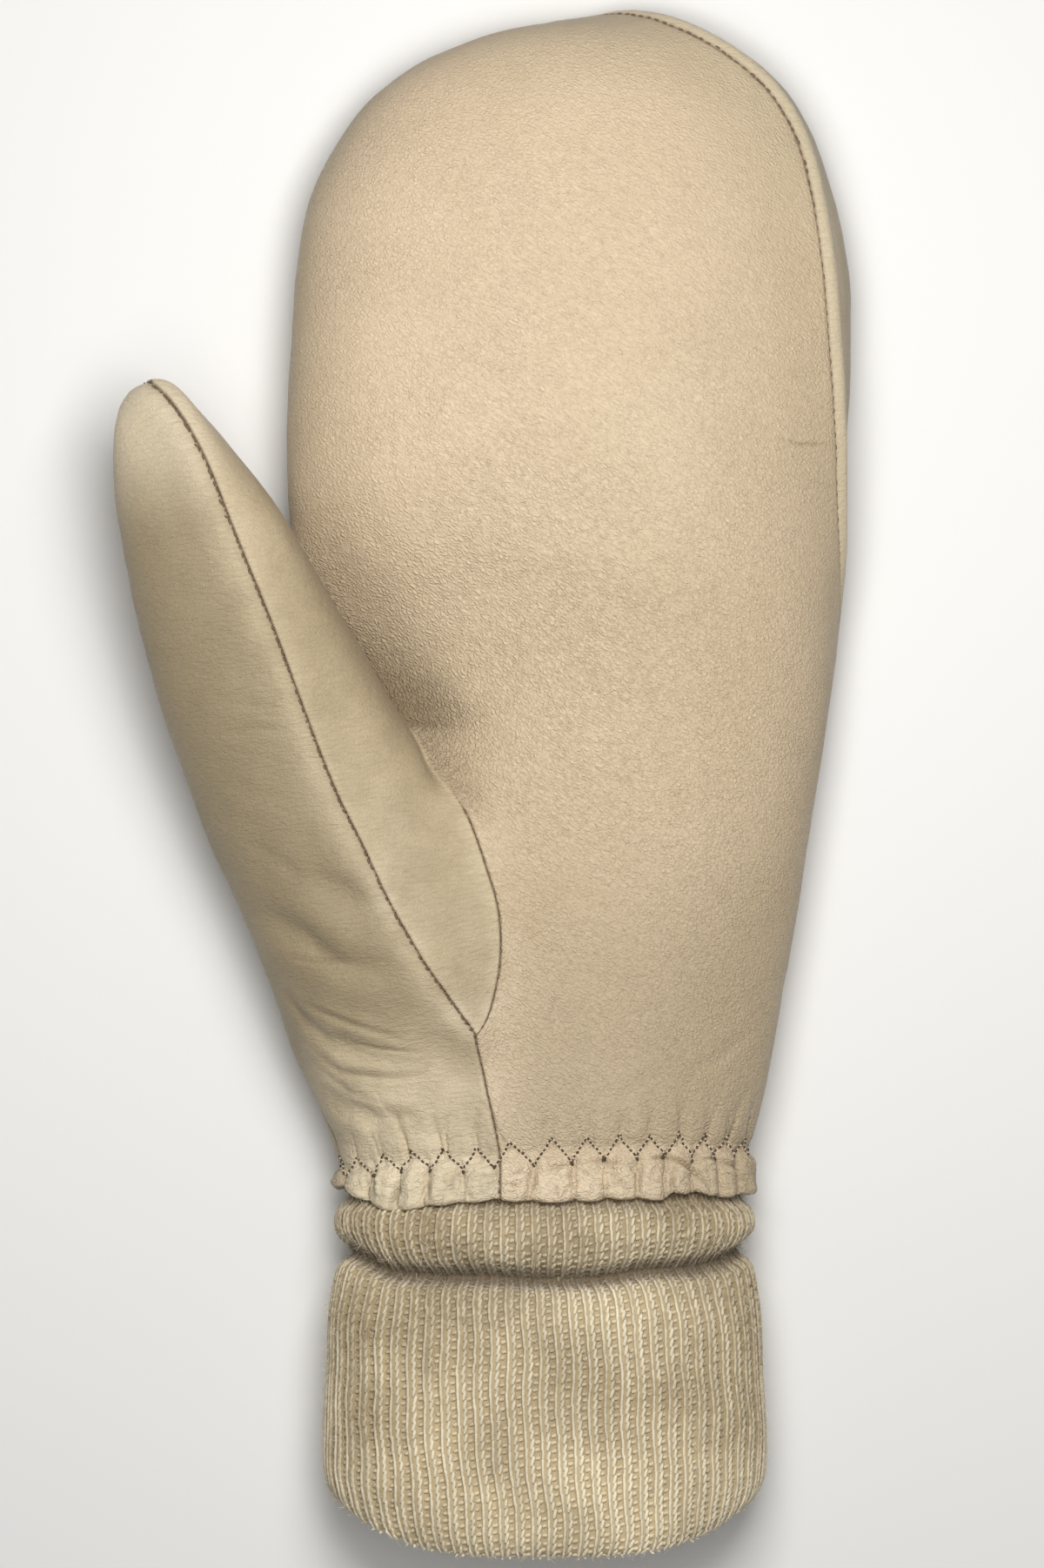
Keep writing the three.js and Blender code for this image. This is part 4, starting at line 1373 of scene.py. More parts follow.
# 3. Knit cuff: a tube folded double, in 1x1 rib. Rows run from the tucked top down the outside,
# round the fold and up the inside.
cuffShape = {
    "fullness": (0.88, 0.88, 0.88, 0.88),
    "rows": [  # y, half width, top, floor, sag below the floor, rib height, crease lift, corner lift
        (80, 36.1, 32.6, 2.3, 2, 0.4, 0, 0), (69.4, 37.9, 34.1, 2.3, 2, 0.6, 0, 0),
        (66.6, 40.1, 37.2, 0.9, 4, 1, 0, 0), (63, 40.3, 38.2, 0.9, 4, 1, 0.4, 0),
        (59.8, 39.4, 36.4, 0.9, 4, 0.9, 0.8, 0), (57.5, 37.6, 33.2, 1.0, 4, 0.6, 1, 0),
        (56, 36.9, 31.2, 1.2, 4, 0.5, 1, 0), (54.8, 37.8, 33, 1.1, 4, 0.6, 1, 0),
        (53.2, 39.9, 37, 0.9, 4, 0.9, 0.9, 0), (48.5, 41.2, 39.5, 0.9, 4, 1, 0.45, 0),
        (36, 41.9, 40.5, 0.9, 4, 1, 0.1, 0.02), (23, 42.6, 41.2, 0.9, 4, 1, 0, 0.12),
        (10, 42.1, 40.8, 0.9, 4, 0.9, 0, 0.55), (4.2, 41, 39.6, 1.0, 4, 0.6, 0, 0.9),
        (1.7, 39.3, 37.6, 2.4, 2, 0.3, 0, 1), (4.8, 37.3, 35.5, 4.2, 2, 0.5, 0, 0.9),
        (11, 36.2, 34.2, 4.3, 2, 0.8, 0, 0.5), (28, 35, 32.6, 4.4, 2, 0.8, 0, 0.1),
        (58, 33.8, 30.8, 4.6, 2, 0.8, 0, 0), (80, 33.4, 29.6, 4.9, 2, 0.4, 0, 0),
    ],
    "along": 900,
    "hemPlace": 71.0,        # the knit shows from here down
    "creaseLine": [(-40, 0), (-36.7, 0), (-29.4, -2.2), (-19.5, -2.4), (-8.4, -0.9), (2.6, -0.8),
                   (10.4, -0.9), (19.2, -0.4), (29.2, -0.7), (36.9, -1.1), (41, -0.6)],
    "creaseWaves": [(0.5, 3, 1), (0.35, 7, 0)],    # height, how many round the cuff, start
    "creaseLift": 3.2,
    "cornerLift": 9.6,
    "cornerPower": 3.0,
    "droopFade": 0.3,        # the crease line holds on the upper side only
    "creaseTop": 36.4,       # the crease is dark where the knit lies below this height
    "creaseDeep": 4.4,
    "floorRound": 0.8,
    "ribs": 66,
    "ribSection": (-42.6, 42.6, 41.2, -4.0),
    "ribLeans": [(1.25, 1.95, 0.75), (0.35, 1.1, 0.5)],    # by how many ribs, at which angle, how wide
    "ribWaves": [(0.09, 0.17, 2.0, 0), (0.05, 0.41, 5.0, 1.3)],
    "columnsPerRib": 8,
    "outerStep": 1.1,
    "innerStep": 2.3,
    "waleRise": 0.42,
    "valleyDrop": 0.5,
    "waleShare": 0.6,
}

cuffDense = denseRows(cuffShape["rows"], cuffShape["along"])
cuffY, cuffTop, cuffRibHeight = cuffDense[:, 0], cuffDense[:, 2], cuffDense[:, 5]
cuffRun = np.concatenate([[0], np.cumsum(np.hypot(np.diff(cuffY), np.diff(cuffTop)))])
foldRow = int(cuffY.argmin())
foldRun = float(cuffRun[foldRow])
hemRun = float(np.interp(-cuffShape["hemPlace"], -cuffY[:foldRow], cuffRun[:foldRow]))


# Ribs are equally far apart along the tube's own section, so they crowd at the sides in the picture
def ribAngles():
    angle = np.linspace(0, 2 * math.pi, 4001)
    x, z = ovalPoints(*cuffShape["ribSection"], angle, cuffShape["fullness"])
    z = np.maximum(z, 0)
    run = np.concatenate([[0], np.cumsum(np.hypot(np.diff(x), np.diff(z)))])
    return run / run[-1] * cuffShape["ribs"], angle


ribTable = ribAngles()


def ribAngle(rib):
    return np.interp(rib % cuffShape["ribs"], *ribTable)


# How far down from the hem to the fold a place is, from 0 to 1
def downShare(run, most=1.0):
    return np.clip((run - hemRun) / (foldRun - hemRun), 0, most)


# The ribs wander a little and lean as they go down
def ribDrift(rib, run):
    angle = ribAngle(rib)
    lean = sum(ribs * bell(angle - middle, width) for ribs, middle, width in cuffShape["ribLeans"])
    wave = sum(ribs * np.sin(run * along + angle * around + start)
               for ribs, along, around, start in cuffShape["ribWaves"])
    return -lean * downShare(run, 1.15) + wave


def cuffPoint(rib, run):
    columns = [np.interp(run, cuffRun, cuffDense[:, i]) for i in range(8)]
    y, half, top, floor, sag, _, crease, corner = columns
    angle = ribAngle(rib + ribDrift(rib, run))
    x, z = ovalPoints(-half, half, top, floor - sag, angle, cuffShape["fullness"])
    side = np.abs(np.cos(angle))
    y = y + cuffShape["creaseLift"] * crease * side**2
    y = y + cuffShape["cornerLift"] * corner * side ** cuffShape["cornerPower"]
    fade = cuffShape["droopFade"]
    droop = np.interp(x, *np.array(cuffShape["creaseLine"]).T) * smoothStep(np.sin(angle), 0, fade)
    waves = sum(high * np.sin(angle * around + start) for high, around, start in cuffShape["creaseWaves"])
    y = y + (waves + droop) * crease
    return np.stack([x, y, floor + softFloor(z - floor, cuffShape["floorRound"])], -1)


def unit(vectors):
    return vectors / np.maximum(np.linalg.norm(vectors, axis=-1, keepdims=True), 1e-9)


# The surface there: place, outward direction, direction of travel down the rib
def cuffSurface(rib, run, runStep=0.25, ribStep=0.06):
    along = cuffPoint(rib, run + runStep) - cuffPoint(rib, run - runStep)
    across = cuffPoint(rib + ribStep, run) - cuffPoint(rib - ribStep, run)
    return cuffPoint(rib, run), unit(np.cross(across, along)), unit(along)


# How deep in the crease a place is, from 0 to 1: the strength of the painted shade there and of the extra
# fuzz
def creaseShade(rib, run):
    below = cuffShape["creaseTop"] - np.interp(run, cuffRun, cuffTop)
    return smoothStep(below, 0, cuffShape["creaseDeep"]) * (run < foldRun / 2) + 0 * rib


# Painted light and shade on the knit: lighter towards the fold and darker at the sides
cuffTone = {
    "start": 0.02,
    "gain": 1.15,
    "curve": 0.85,
    "right": 0.9,
    "left": 0.65,
    "sidePower": 2.6,
    "rolled": 0.1,           # a little duller just below the hem, down to these places
    "rolledEnd": (0.1, 0.2),
    "range": (-0.4, 1),
}


def downTone(rib, run):
    side = np.cos(ribAngle(rib))
    duller = np.where(side > 0, cuffTone["right"], cuffTone["left"]) * np.abs(side) ** cuffTone["sidePower"]
    down = downShare(run)
    rolled = cuffTone["rolled"] * (1 - smoothStep(down, *cuffTone["rolledEnd"]))
    lighter = cuffTone["start"] + cuffTone["gain"] * down ** cuffTone["curve"]
    return np.clip(lighter - duller - rolled, *cuffTone["range"])


def writeAttributes(mesh, values):
    for key, numbers in values.items():
        mesh.attributes.new(key, "FLOAT", "POINT").data.foreach_set("value", numbers.astype(np.float32))


def cuffTube():
    outside = np.arange(0, foldRun + 4, cuffShape["outerStep"])
    inside = np.arange(outside[-1] + cuffShape["innerStep"], cuffRun[-1], cuffShape["innerStep"])
    runs = np.concatenate([outside, inside, [cuffRun[-1]]])
    count = len(runs)
    around = cuffShape["ribs"] * cuffShape["columnsPerRib"]
    rib = np.arange(around) / cuffShape["columnsPerRib"]
    grid = cuffPoint(rib[None, :], runs[:, None])
    last = (count - 1) * around
    step = np.arange(around)
    closing = np.stack([last + step, step, (step + 1) % around, last + (step + 1) % around], 1)
    faces = np.vstack([loftFaces(count, around), closing])[:, ::-1]
    mesh = plainMesh("cuff_knit", toFrame(grid.reshape(-1, 3)), faces)
    writeAttributes(mesh, {
        "creaseShade": creaseShade(rib[None, :], runs[:, None]).ravel(),
        "tone": downTone(rib[None, :], runs[:, None]).ravel(),
        "ribPhase": np.tile(rib, count),
        "ribHeight": np.repeat(np.interp(runs, cuffRun, cuffRibHeight), around),
        "rowRun": np.repeat(runs, around),
    })
    mesh.polygons.foreach_set("use_smooth", np.ones(len(mesh.polygons), bool))
    return addPiece("cuff_knit", mesh)


# Geometry Nodes trees. Each has named inputs and ends in Realize Instances and Set Material.
def newTree(name, inputs):
    tree = bpy.data.node_groups.new(name, "GeometryNodeTree")
    tree.interface.new_socket("Geometry", in_out="INPUT", socket_type="NodeSocketGeometry")
    for label, (kind, value) in inputs.items():
        socket = tree.interface.new_socket(label, in_out="INPUT", socket_type="NodeSocket" + kind)
        if value is not None:
            socket.default_value = value
    tree.interface.new_socket("Geometry", in_out="OUTPUT", socket_type="NodeSocketGeometry")
    return tree, tree.nodes.new("NodeGroupInput").outputs


def endTree(tree, geometry, material):
    whole = addNode(tree, "GeometryNodeRealizeInstances", {"Geometry": geometry}).outputs[0]
    smooth = addNode(tree, "GeometryNodeSetShadeSmooth", {"Geometry": whole}).outputs[0]
    finished = addNode(tree, "GeometryNodeSetMaterial", {"Geometry": smooth, "Material": material}).outputs[0]
    addNode(tree, "NodeGroupOutput", {0: finished})
    return tree


def growWith(piece, tree, values):
    modifier = piece.modifiers.new(tree.name, "NODES")
    modifier.node_group = tree
    for item in tree.interface.items_tree:
        if item.item_type == "SOCKET" and item.in_out == "INPUT" and item.name in values:
            modifier[item.identifier] = values[item.name]
    return settle(piece)


def attributeNode(tree, name, kind="FLOAT"):
    return addNode(tree, "GeometryNodeInputNamedAttribute", {"Name": name}, data_type=kind).outputs[0]


def unevenScale(tree, source, sizes):
    uneven = source["Unevenness"]
    limits = {2: minus(tree, 1.0, uneven), 3: plus(tree, 1.0, uneven), "Seed": source["Seed"]}
    factor = addNode(tree, "FunctionNodeRandomValue", limits, data_type="FLOAT").outputs[1]
    size = {i: source[name] for i, name in enumerate(sizes)}
    size = addNode(tree, "ShaderNodeCombineXYZ", size).outputs[0]
    return addNode(tree, "ShaderNodeVectorMath", {0: size, "Scale": factor}, operation="SCALE").outputs[0]


# One bead of yarn or thread on each chosen point, turned by its aim and its outward direction
def beadsOn(tree, source, points, aim, rings, chosen=True):
    axes = {0: attributeNode(tree, "outward", "FLOAT_VECTOR"), 1: aim}
    turn = addNode(tree, "FunctionNodeAxesToRotation", axes, primary_axis="Z", secondary_axis="Y").outputs[0]
    bead = {"Segments": 6, "Rings": rings, "Radius": 0.5}
    bead = addNode(tree, "GeometryNodeMeshUVSphere", bead).outputs[0]
    lying = {"Geometry": bead, "Rotation": (math.pi / 2, 0, 0)}    # its poles lie along its length
    bead = addNode(tree, "GeometryNodeTransform", lying).outputs[0]
    beads = addNode(tree, "GeometryNodeInstanceOnPoints", {
        "Points": points, "Selection": chosen, "Instance": bead, "Rotation": turn,
        "Scale": unevenScale(tree, source, ("Width", "Length", "Height"))}).outputs[0]
    return endTree(tree, beads, source["Material"])


beadInputs = {"Width": ("Float", 0.0005), "Length": ("Float", 0.002), "Height": ("Float", 0.0004),
              "Unevenness": ("Float", 0.1), "Seed": ("Int", 0), "Material": ("Material", None)}


def beadTree(name, rings):
    tree, source = newTree(name, beadInputs)
    return beadsOn(tree, source, source["Geometry"], attributeNode(tree, "aim", "FLOAT_VECTOR"), rings)


# Stitches at even steps along a path. Pick and Out of choose every so many of them.
def threadTree():
    inputs = {"Spacing": ("Float", 0.001), "Pick": ("Int", 0), "Out of": ("Int", 1), **beadInputs}
    tree, source = newTree("thread along a seam", inputs)
    curve = addNode(tree, "GeometryNodeMeshToCurve", {"Mesh": source["Geometry"]}).outputs[0]
    steps = {"Curve": curve, "Length": source["Spacing"]}
    even = addNode(tree, "GeometryNodeResampleCurve", steps, mode="LENGTH").outputs[0]
    index = addNode(tree, "GeometryNodeInputIndex").outputs[0]
    left = mathNode(tree, "MODULO", index, source["Out of"])
    test = {0: left, 1: source["Pick"], "Epsilon": 0.1}
    chosen = addNode(tree, "FunctionNodeCompare", test, operation="EQUAL").outputs[0]
    return beadsOn(tree, source, even, addNode(tree, "GeometryNodeInputTangent").outputs[0], 5, chosen)


# Ribs raised along the outward direction, from the rib number that each point carries
def ribTree():
    inputs = {"Wale rise": ("Float", 0.0004), "Valley drop": ("Float", 0.0005), "Wale share": ("Float", 0.6),
              "Material": ("Material", None)}
    tree, source = newTree("knitted ribs", inputs)
    place = mathNode(tree, "FRACT", attributeNode(tree, "ribPhase"))
    share = source["Wale share"]
    onWale = times(tree, mathNode(tree, "DIVIDE", place, share, clamp=True), math.pi)
    rise = times(tree, mathNode(tree, "POWER", mathNode(tree, "SINE", onWale), 0.6), source["Wale rise"])
    past = minus(tree, place, share)
    inValley = times(tree, mathNode(tree, "DIVIDE", past, minus(tree, 1.0, share), clamp=True), math.pi)
    drop = times(tree, mathNode(tree, "SINE", inValley), source["Valley drop"])
    height = times(tree, minus(tree, rise, drop), attributeNode(tree, "ribHeight"))
    normal = addNode(tree, "GeometryNodeInputNormal").outputs[0]
    offset = addNode(tree, "ShaderNodeVectorMath", {0: normal, "Scale": height}, operation="SCALE").outputs[0]
    moved = {"Geometry": source["Geometry"], "Offset": offset}
    ribs = addNode(tree, "GeometryNodeSetPosition", moved).outputs[0]
    return endTree(tree, ribs, source["Material"])


def compare(tree, operation, first, second):
    return addNode(tree, "FunctionNodeCompare", {0: first, 1: second}, operation=operation).outputs[0]


def both(tree, first, second):
    return addNode(tree, "FunctionNodeBooleanMath", {0: first, 1: second}, operation="AND").outputs[0]


# Where hairs grow: on the outside of the cuff, and not so low that they reach the table
def hairyPlaces(tree, source):
    run = attributeNode(tree, "rowRun")
    outside = compare(tree, "LESS_THAN", run, foldRun + 2)
    shown = both(tree, outside, compare(tree, "GREATER_THAN", run, hemRun))
    place = addNode(tree, "GeometryNodeInputPosition").outputs[0]
    height = addNode(tree, "ShaderNodeSeparateXYZ", {0: place}).outputs[2]
    reach = times(tree, source["Length"], 1.8)
    return both(tree, shown, compare(tree, "GREATER_THAN", height, reach))


# One curved hair, 1 long, with three sides
def hairCurve(tree, source):
    bend = {"Resolution": 3, "Start": (0, 0, 0), "Middle": (0, 0.3, 0.45), "End": (0.15, 1.0, 0.5)}
    spine = addNode(tree, "GeometryNodeCurveQuadraticBezier", bend).outputs[0]
    ring = {"Resolution": 3, "Radius": 0.5}
    ring = addNode(tree, "GeometryNodeCurvePrimitiveCircle", ring).outputs["Curve"]
    thickness = mathNode(tree, "DIVIDE", source["Width"], source["Length"])
    scale = addNode(tree, "ShaderNodeCombineXYZ", {axis: thickness for axis in range(3)}).outputs[0]
    thin = addNode(tree, "GeometryNodeTransform", {"Geometry": ring, "Scale": scale}).outputs[0]
    tube = {"Curve": spine, "Profile Curve": thin, "Fill Caps": True}
    return addNode(tree, "GeometryNodeCurveToMesh", tube).outputs[0]


# Short curved hairs that stand off the knit
def fuzzTree():
    inputs = {"Density": ("Float", 100000.0), "Crease extra": ("Float", 2.0), "Length": ("Float", 0.0025),
              "Width": ("Float", 0.00005), "Unevenness": ("Float", 0.5), "Seed": ("Int", 3),
              "Material": ("Material", None)}
    tree, source = newTree("wool fuzz", inputs)
    more = times(tree, attributeNode(tree, "creaseShade"), source["Crease extra"])
    density = times(tree, source["Density"], plus(tree, more, 1.0))
    spread = addNode(tree, "GeometryNodeDistributePointsOnFaces", {
        "Mesh": source["Geometry"], "Selection": hairyPlaces(tree, source), "Density": density,
        "Seed": source["Seed"]})
    size = unevenScale(tree, source, ("Length", "Length", "Length"))
    hairs = addNode(tree, "GeometryNodeInstanceOnPoints", {
        "Points": spread.outputs[0], "Instance": hairCurve(tree, source),
        "Rotation": spread.outputs["Rotation"], "Scale": size}).outputs[0]
    limits = {0: (-0.5, -0.5, 0.0), 1: (0.7, 0.5, math.tau), "Seed": 11}
    spin = addNode(tree, "FunctionNodeRandomValue", limits, data_type="FLOAT_VECTOR").outputs[0]
    hairs = addNode(tree, "GeometryNodeRotateInstances", {"Instances": hairs, "Rotation": spin}).outputs[0]
    return endTree(tree, hairs, source["Material"])


# Points or a path that beads grow on, with their outward and aim directions
def carrier(name, points, outward, aim=None, shades=None, edges=()):
    mesh = bpy.data.meshes.new(name)
    mesh.from_pydata(toFrame(points).tolist(), [tuple(e) for e in edges], [])
    writeAttributes(mesh, shades or {})
    for key, vectors in (("outward", outward), ("aim", aim)):
        if vectors is not None:
            flat = np.asarray(vectors, np.float32).ravel()
            mesh.attributes.new(key, "FLOAT_VECTOR", "POINT").data.foreach_set("vector", flat)
    return addPiece(name, mesh)


# 4. Wool: the tube, the loops on its ribs and in its valleys, and the fuzz
woolFinish = {
    # Each part of the knit has a lit colour and a shaded colour: a random cloud and the painted light and
    # shade of the tone pick between them
    "tube": srgb(208, 190, 152),
    "tubeShade": srgb(138, 119, 86),
    "loop": srgb(254, 243, 214),
    "loopShade": srgb(168, 151, 119),
    "purl": srgb(238, 223, 190),
    "purlShade": srgb(160, 143, 111),
    # painted shade in the crease under the roll
    "crease": srgb(116, 98, 72),
    "hair": srgb(226, 211, 181),
    "roughness": 0.92,
    "cloudScale": 55.0,
    "cloudRange": (0.35, 0.65),
    "fleckScale": 900.0,
    "fleckRange": (0.35, 0.7),
    "fleckShare": 0.35,
    "creaseShare": 0.9,
    "fibreTurn": 0.5,
    "fibreScale": (2600, 1500, 2200),
    "fibreDepth": 0.00008,
}


def woolMaterial(name, first, second):
    finish = woolFinish
    material, tree, shader = newMaterial(name)
    plain = placed(tree)
    cloud = ramp(tree, noiseNode(tree, plain, finish["cloudScale"], 3.0), *finish["cloudRange"])
    flecks = ramp(tree, noiseNode(tree, plain, finish["fleckScale"]), *finish["fleckRange"])
    light = times(tree, plus(tree, cloud, attribute(tree, "tone")), 0.5)
    colour = mixColour(tree, light, first, second)
    colour = mixColour(tree, times(tree, flecks, finish["fleckShare"]), colour, second)
    deep = times(tree, attribute(tree, "creaseShade"), finish["creaseShare"])
    tree.links.new(mixColour(tree, deep, colour, finish["crease"]), shader.inputs["Base Color"])
    fibre = noiseNode(tree, placed(tree, finish["fibreTurn"], finish["fibreScale"]), 1.0, 3.0, 0.6)
    addBump(tree, shader, fibre, 0.8, finish["fibreDepth"])
    setInputs(shader, {"Roughness": finish["roughness"], "Specular IOR Level": 0.2, "Sheen Weight": 0.3,
                       "Sheen Roughness": 0.6})
    return material


tubeWool = woolMaterial("rib knit wool", woolFinish["tubeShade"], woolFinish["tube"])
loopWool = woolMaterial("knit loop wool", woolFinish["loopShade"], woolFinish["loop"])
purlWool = woolMaterial("purl loop wool", woolFinish["purlShade"], woolFinish["purl"])
hairWool = woolMaterial("wool fuzz", woolFinish["loop"], woolFinish["hair"])

# Place is across the rib and rowShift down it, in ribs and rows. Stray is how far loops are off across
# and down.
knitLoops = {
    "rowPitch": 1.65,
    "stagger": 0.5,          # neighbouring ribs start at different heights
    "staggerTurn": 2.4,
    "leastLift": 0.35,       # share of the lift that a flat rib keeps
    "unevenness": 0.1,
    "toneStray": 0.12,
    "toneLumps": (0.35, 2.0, 15),
    "toneStretch": (1.3, 0.28),
    "straight": {"place": 0.50, "lift": 0.42, "slant": 0.03, "width": 0.66, "length": 3.0, "height": 0.5,
                 "rowShift": 0.0, "stray": (0.014, 0.08), "seed": 8},
    "slanted": {"place": 0.12, "lift": 0.38, "slant": 0.28, "width": 0.8, "length": 2.5, "height": 0.54,
                "rowShift": 0.0, "stray": (0.014, 0.08), "seed": 7},
    "purl": {"place": 0.80, "lift": -0.14, "slant": 1.3, "width": 0.88, "length": 1.35, "height": 0.6,
             "rowShift": 0.5, "stray": (0.045, 0.16), "seed": 4},
}
woolFuzz = {"Density": 560000.0, "Crease extra": 1.0, "Length": 0.0014, "Width": 0.000045}


# Loops differ a little in brightness, rib by rib and along each rib, over the knit's painted light and shade
def loopTone(rib, run, rng):
    stray, (across, down) = knitLoops["toneStray"], knitLoops["toneStretch"]
    perRib = rng.normal(0, stray, cuffShape["ribs"])[:, None]
    place = np.stack([rib * across, run * down, 0 * rib], -1).reshape(-1, 3)
    uneven = perRib + heightLumps(place, knitLoops["toneLumps"]).reshape(rib.shape)
    return np.clip(downTone(rib, run) + uneven + rng.normal(0, stray, rib.shape), *cuffTone["range"])


def loopPoints(kind):
    loop = knitLoops[kind]
    rng = np.random.default_rng(loop["seed"])
    runs = np.arange(hemRun - 2, foldRun + 7, knitLoops["rowPitch"])
    ribs = np.arange(cuffShape["ribs"])[:, None]
    rib = ribs + loop["place"] + 0 * runs[None, :]
    rib = rib + rng.normal(0, loop["stray"][0], rib.shape)
    run = runs[None, :] + 0 * rib + loop["rowShift"] * knitLoops["rowPitch"]
    run = run + rng.normal(0, loop["stray"][1], rib.shape)
    run = run + knitLoops["stagger"] * np.sin(ribs * knitLoops["staggerTurn"])
    here, outward, along = cuffSurface(rib, run)
    sideways = np.cross(outward, along)
    aim = along * math.cos(loop["slant"]) - sideways * math.sin(loop["slant"])
    least = knitLoops["leastLift"]
    ribHeight = np.interp(run, cuffRun, cuffRibHeight)[..., None]
    here = here + outward * loop["lift"] * (least + (1 - least) * ribHeight)
    shades = {"creaseShade": creaseShade(rib, run).ravel(), "tone": loopTone(rib, run, rng).ravel()}
    return here.reshape(-1, 3), outward.reshape(-1, 3), aim.reshape(-1, 3), shades


# A bead's or a thread's sizes as its tree's inputs, in metres
def inMetres(size):
    keys = [key for key in ("spacing", "width", "length", "height") if key in size]
    return {key.capitalize(): size[key] / 1000 for key in keys}


beads = beadTree("yarn loops on points", 3)
tube = growWith(cuffTube(), ribTree(), {
    "Wale rise": cuffShape["waleRise"] / 1000, "Valley drop": cuffShape["valleyDrop"] / 1000,
    "Wale share": cuffShape["waleShare"], "Material": tubeWool})
woolPieces = [tube]
for name, kind, wool in (("cuff_knit_loops_straight", "straight", loopWool),
                         ("cuff_knit_loops_slanted", "slanted", loopWool),
                         ("cuff_purl_loops_purl", "purl", purlWool)):
    woolPieces.append(growWith(carrier(name, *loopPoints(kind)), beads, {
        **inMetres(knitLoops[kind]), "Unevenness": knitLoops["unevenness"], "Seed": 4, "Material": wool}))
fuzzBase = addPiece("cuff_wool_fuzz", tube.data.copy())
woolPieces.append(growWith(fuzzBase, fuzzTree(), {**woolFuzz, "Material": hairWool}))
for piece in woolPieces:
    stage(f"{piece.name}: {len(piece.data.polygons)} faces")

# 5. Thread: stitches down in the seams, and the zigzag that holds the elastic, its dark stitches broken by
#    cream beads as painted glints
threadShape = {
    "dark": srgb(84, 66, 52),
    # cream beads between the dark zigzag stitches are painted glints
    "cream": srgb(232, 220, 194),
    "twistColour": srgb(60, 46, 36),
    "twistTurn": 0.6,
    "twistScale": (900, 4200, 1500),
    "twistShare": 0.3,
    "twistDepth": 0.00004,
    "seam": {"spacing": 2.4, "width": 0.46, "length": 1.1, "height": 0.4, "lift": 0.26},
    "zigzag": {"spacing": 0.52, "height": 0.4, "lift": 0.06},
    "zigzagDark": {"width": 0.47, "length": 0.88},
    "zigzagCream": {"width": 0.4, "length": 0.5},
    "knot": {"width": 0.85, "length": 1.05, "height": 0.6, "lift": 0.1},
    "stepsPerTooth": 22,
    "toothUneven": 0.22,
    "raisedUp": (196, 206),      # seam stitches stand out round the fingertips
    "sunkRight": (30, 36),       # and lie deep in the seam down the hand's right side
    "sunkDown": (266, 258),
    "sunkLift": 0.35,
    "hiddenUp": 145,             # from here up none shows in the hollow beside the thumb's root
}


def threadMaterial(name, colour):
    material, tree, shader = newMaterial(name)
    twisted = placed(tree, threadShape["twistTurn"], threadShape["twistScale"])
    twist = noiseNode(tree, twisted, 1.0)
    share = times(tree, twist, threadShape["twistShare"])
    colour = mixColour(tree, share, colour, threadShape["twistColour"])
    tree.links.new(colour, shader.inputs["Base Color"])
    addBump(tree, shader, twist, 0.6, threadShape["twistDepth"])
    setInputs(shader, {"Roughness": 0.6})
    return material


leatherTree = BVHTree.FromPolygons(leatherPoints.tolist(), leatherTriangles.tolist())


# The leather's place and outward direction at an angle round the wrist
def ontoWrist(degrees, y):
    left, right, top, bottom = [float(v) for v in rowAt(handTable, y)[:4]]
    centre = Vector(((left + right) / 2, y, (top + bottom) / 2))
    x, z = ovalPoints(left, right, top, bottom, math.radians(degrees), handShape["fullness"])
    away = Vector((float(x), y, float(z))) - centre
    start = centre + away * 1.6    # outside the leather
    place, normal, _, _ = leatherTree.ray_cast(start, -away)
    return place, normal


def zigzagPath():
    degrees = np.linspace(-180, 180, 7201)
    phase = toothPhase(degrees) % teeth
    order = np.argsort(phase)
    steps = np.arange(0, teeth, 1 / threadShape["stepsPerTooth"])
    angles = np.interp(steps, phase[order], np.unwrap(degrees[order], period=360))
    points, outward = [], []
    for step, angle in zip(steps, angles):
        rise = 1 - 4 * abs(step % 1 - 0.5)
        uneven = 1 + threadShape["toothUneven"] * float(perTooth(np.array(step), 33))
        tall = wristHem["zigzagHeight"] / 2 * uneven
        y = float(aroundWrist(wristHem["elasticLine"], angle)) + tall * rise
        place, normal = ontoWrist(float(angle), y)
        if place is not None:
            points.append(np.array(place) + np.array(normal) * threadShape["zigzag"]["lift"])
            outward.append(np.array(normal))
    return np.array(points), np.array(outward)


darkThread = threadMaterial("dark seam thread", threadShape["dark"])
glintThread = threadMaterial("cream painted glints", threadShape["cream"])
brownThread = threadMaterial("brown seam thread", seamBrown)
threadPieces = []
path, pathOut = zigzagPath()
loopEdges = [(i, (i + 1) % len(path)) for i in range(len(path))]
for name, pick, thread, kind in (("elastic_zigzag_dark", 0, darkThread, "zigzagDark"),
                                 ("elastic_zigzag_glints", 1, glintThread, "zigzagCream")):
    size = {**threadShape["zigzag"], **threadShape[kind]}
    threadPieces.append(growWith(carrier(name, path, pathOut, edges=loopEdges), threadTree(), {
        **inMetres(size), "Pick": pick, "Out of": 2, "Seed": 6, "Material": thread}))
knot = threadShape["knot"]
knots = np.arange(0, len(path), threadShape["stepsPerTooth"])
knotOut = pathOut[knots]
knotCarrier = carrier("elastic_knots", path[knots] + knotOut * knot["lift"], knotOut,
                      np.cross(knotOut, [[0.0, 1.0, 0.0]]))
threadPieces.append(growWith(knotCarrier, beads, {
    **inMetres(knot), "Unevenness": 0.2, "Seed": 5, "Material": darkThread}))


def stitchLift(point):
    raised = 1 + smoothStep(point[1], *threadShape["raisedUp"])
    sunk = smoothStep(point[0], *threadShape["sunkRight"]) * smoothStep(point[1], *threadShape["sunkDown"])
    return threadShape["seam"]["lift"] * (raised * (1 - sunk) + threadShape["sunkLift"] * sunk)


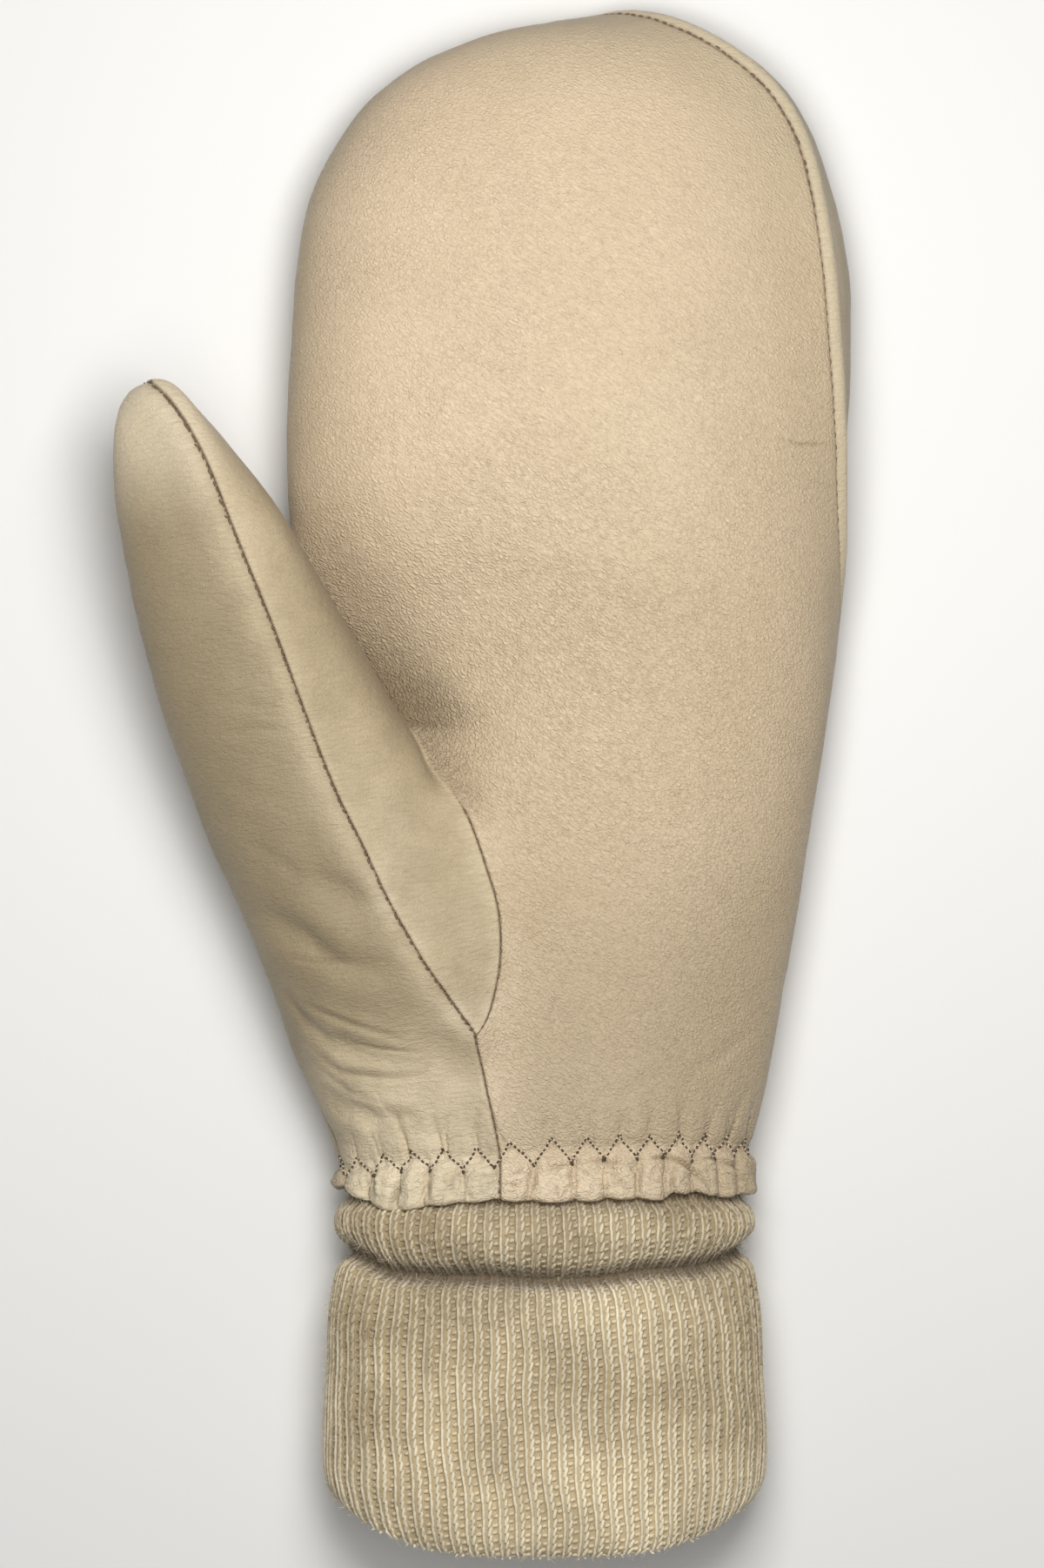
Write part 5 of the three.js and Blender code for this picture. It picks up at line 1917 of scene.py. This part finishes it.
seamPoints, seamOut, seamEdges = [], [], []
for seam, found in seamLines.items():
    for line in found:
        line = [i for i in line if seam != "palm-leaf" or leatherPoints[i][1] < threadShape["hiddenUp"]]
        first = len(seamPoints)
        seamPoints += [leatherPoints[i] + leatherNormals[i] * stitchLift(leatherPoints[i]) for i in line]
        seamOut += [leatherNormals[i] for i in line]
        seamEdges += [(first + i, first + i + 1) for i in range(len(line) - 1)]
seamCarrier = carrier("seam_stitches", np.array(seamPoints), np.array(seamOut), edges=seamEdges)
threadPieces.append(growWith(seamCarrier, threadTree(), {
    **inMetres(threadShape["seam"]), "Seed": 9, "Material": brownThread}))
for piece in threadPieces:
    stage(f"{piece.name}: {len(piece.data.polygons)} faces")

# 6. Every piece rides on the one body, and the main ones stand for their CAD nodes
for piece, node, slot in panels:
    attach(piece, "root")
    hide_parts(node)
for piece in woolPieces:
    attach(piece, "root")
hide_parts("knit_cuff")
for piece in threadPieces:
    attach(piece, "root")

# 7. Studio: pale floor, soft light from the upper right, camera straight above
studio = {
    "floor": srgb(245, 245, 244),
    "floorShade": srgb(242, 242, 241),
    "floorHalf": 4,
    "cloudScale": 3.0,
    "cloudRange": (0.3, 0.7),
    "pictureCentre": (-4.4, 150.2),    # in the drawing
    "pictureHeight": 304.9,
    "planeHeight": 20.0,
    "lens": 190.0,
    "sensor": 36.0,
    "world": 0.1,
    "worldColour": (0.98, 0.99, 1.0, 1.0),
    "lights": [  # name, place, what it aims at, size, power, colour
        ("key softbox", (0.03, 0.13, 0.50), (0.01, 0.09, 0.03), 0.24, 2.0, (1.0, 0.985, 0.965)),
        ("top softbox", (0.02, -0.09, 1.3), (0.0, -0.05, 0.03), 0.7, 4.8, (1.0, 0.99, 0.975)),
    ],
}

half = studio["floorHalf"]
floorCorners = [(-half, -half, 0), (half, -half, 0), (half, half, 0), (-half, half, 0)]
floorMesh = plainMesh("studio_floor", floorCorners, [[0, 1, 2, 3]])
floorPiece = addPiece("studio_floor", floorMesh)
floorMaterial, floorTree, floorShader = newMaterial("pale floor")
floorTone = noiseNode(floorTree, placed(floorTree), studio["cloudScale"])
floorTone = ramp(floorTree, floorTone, *studio["cloudRange"])
floorColour = mixColour(floorTree, floorTone, studio["floor"], studio["floorShade"])
floorTree.links.new(floorColour, floorShader.inputs["Base Color"])
setInputs(floorShader, {"Roughness": 0.9})
floorMesh.materials.append(floorMaterial)

scene = bpy.context.scene
world = bpy.data.worlds.new("soft studio")
world.use_nodes = True
setInputs(world.node_tree.nodes["Background"], {"Color": studio["worldColour"], "Strength": studio["world"]})
scene.world = world
scene.view_settings.view_transform = "Standard"

for name, place, target, size, power, colour in studio["lights"]:
    light = bpy.data.lights.new(name, "AREA")
    light.size = size
    light.energy = power
    light.color = colour
    lamp = bpy.data.objects.new(name, light)
    lamp.location = place
    lamp.rotation_euler = (Vector(target) - Vector(place)).to_track_quat("-Z", "Y").to_euler()
    scene.collection.objects.link(lamp)

lens = bpy.data.cameras.new("camera")
lens.lens = studio["lens"]
lens.sensor_width = studio["sensor"]
lens.clip_end = 20.0
camera = bpy.data.objects.new("camera", lens)
middle = toFrame((*studio["pictureCentre"], studio["planeHeight"]))
distance = studio["pictureHeight"] / 1000 / studio["sensor"] * studio["lens"]
camera.location = (middle[0], middle[1], middle[2] + distance)
scene.collection.objects.link(camera)
scene.camera = camera

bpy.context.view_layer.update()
stage("all pieces made")
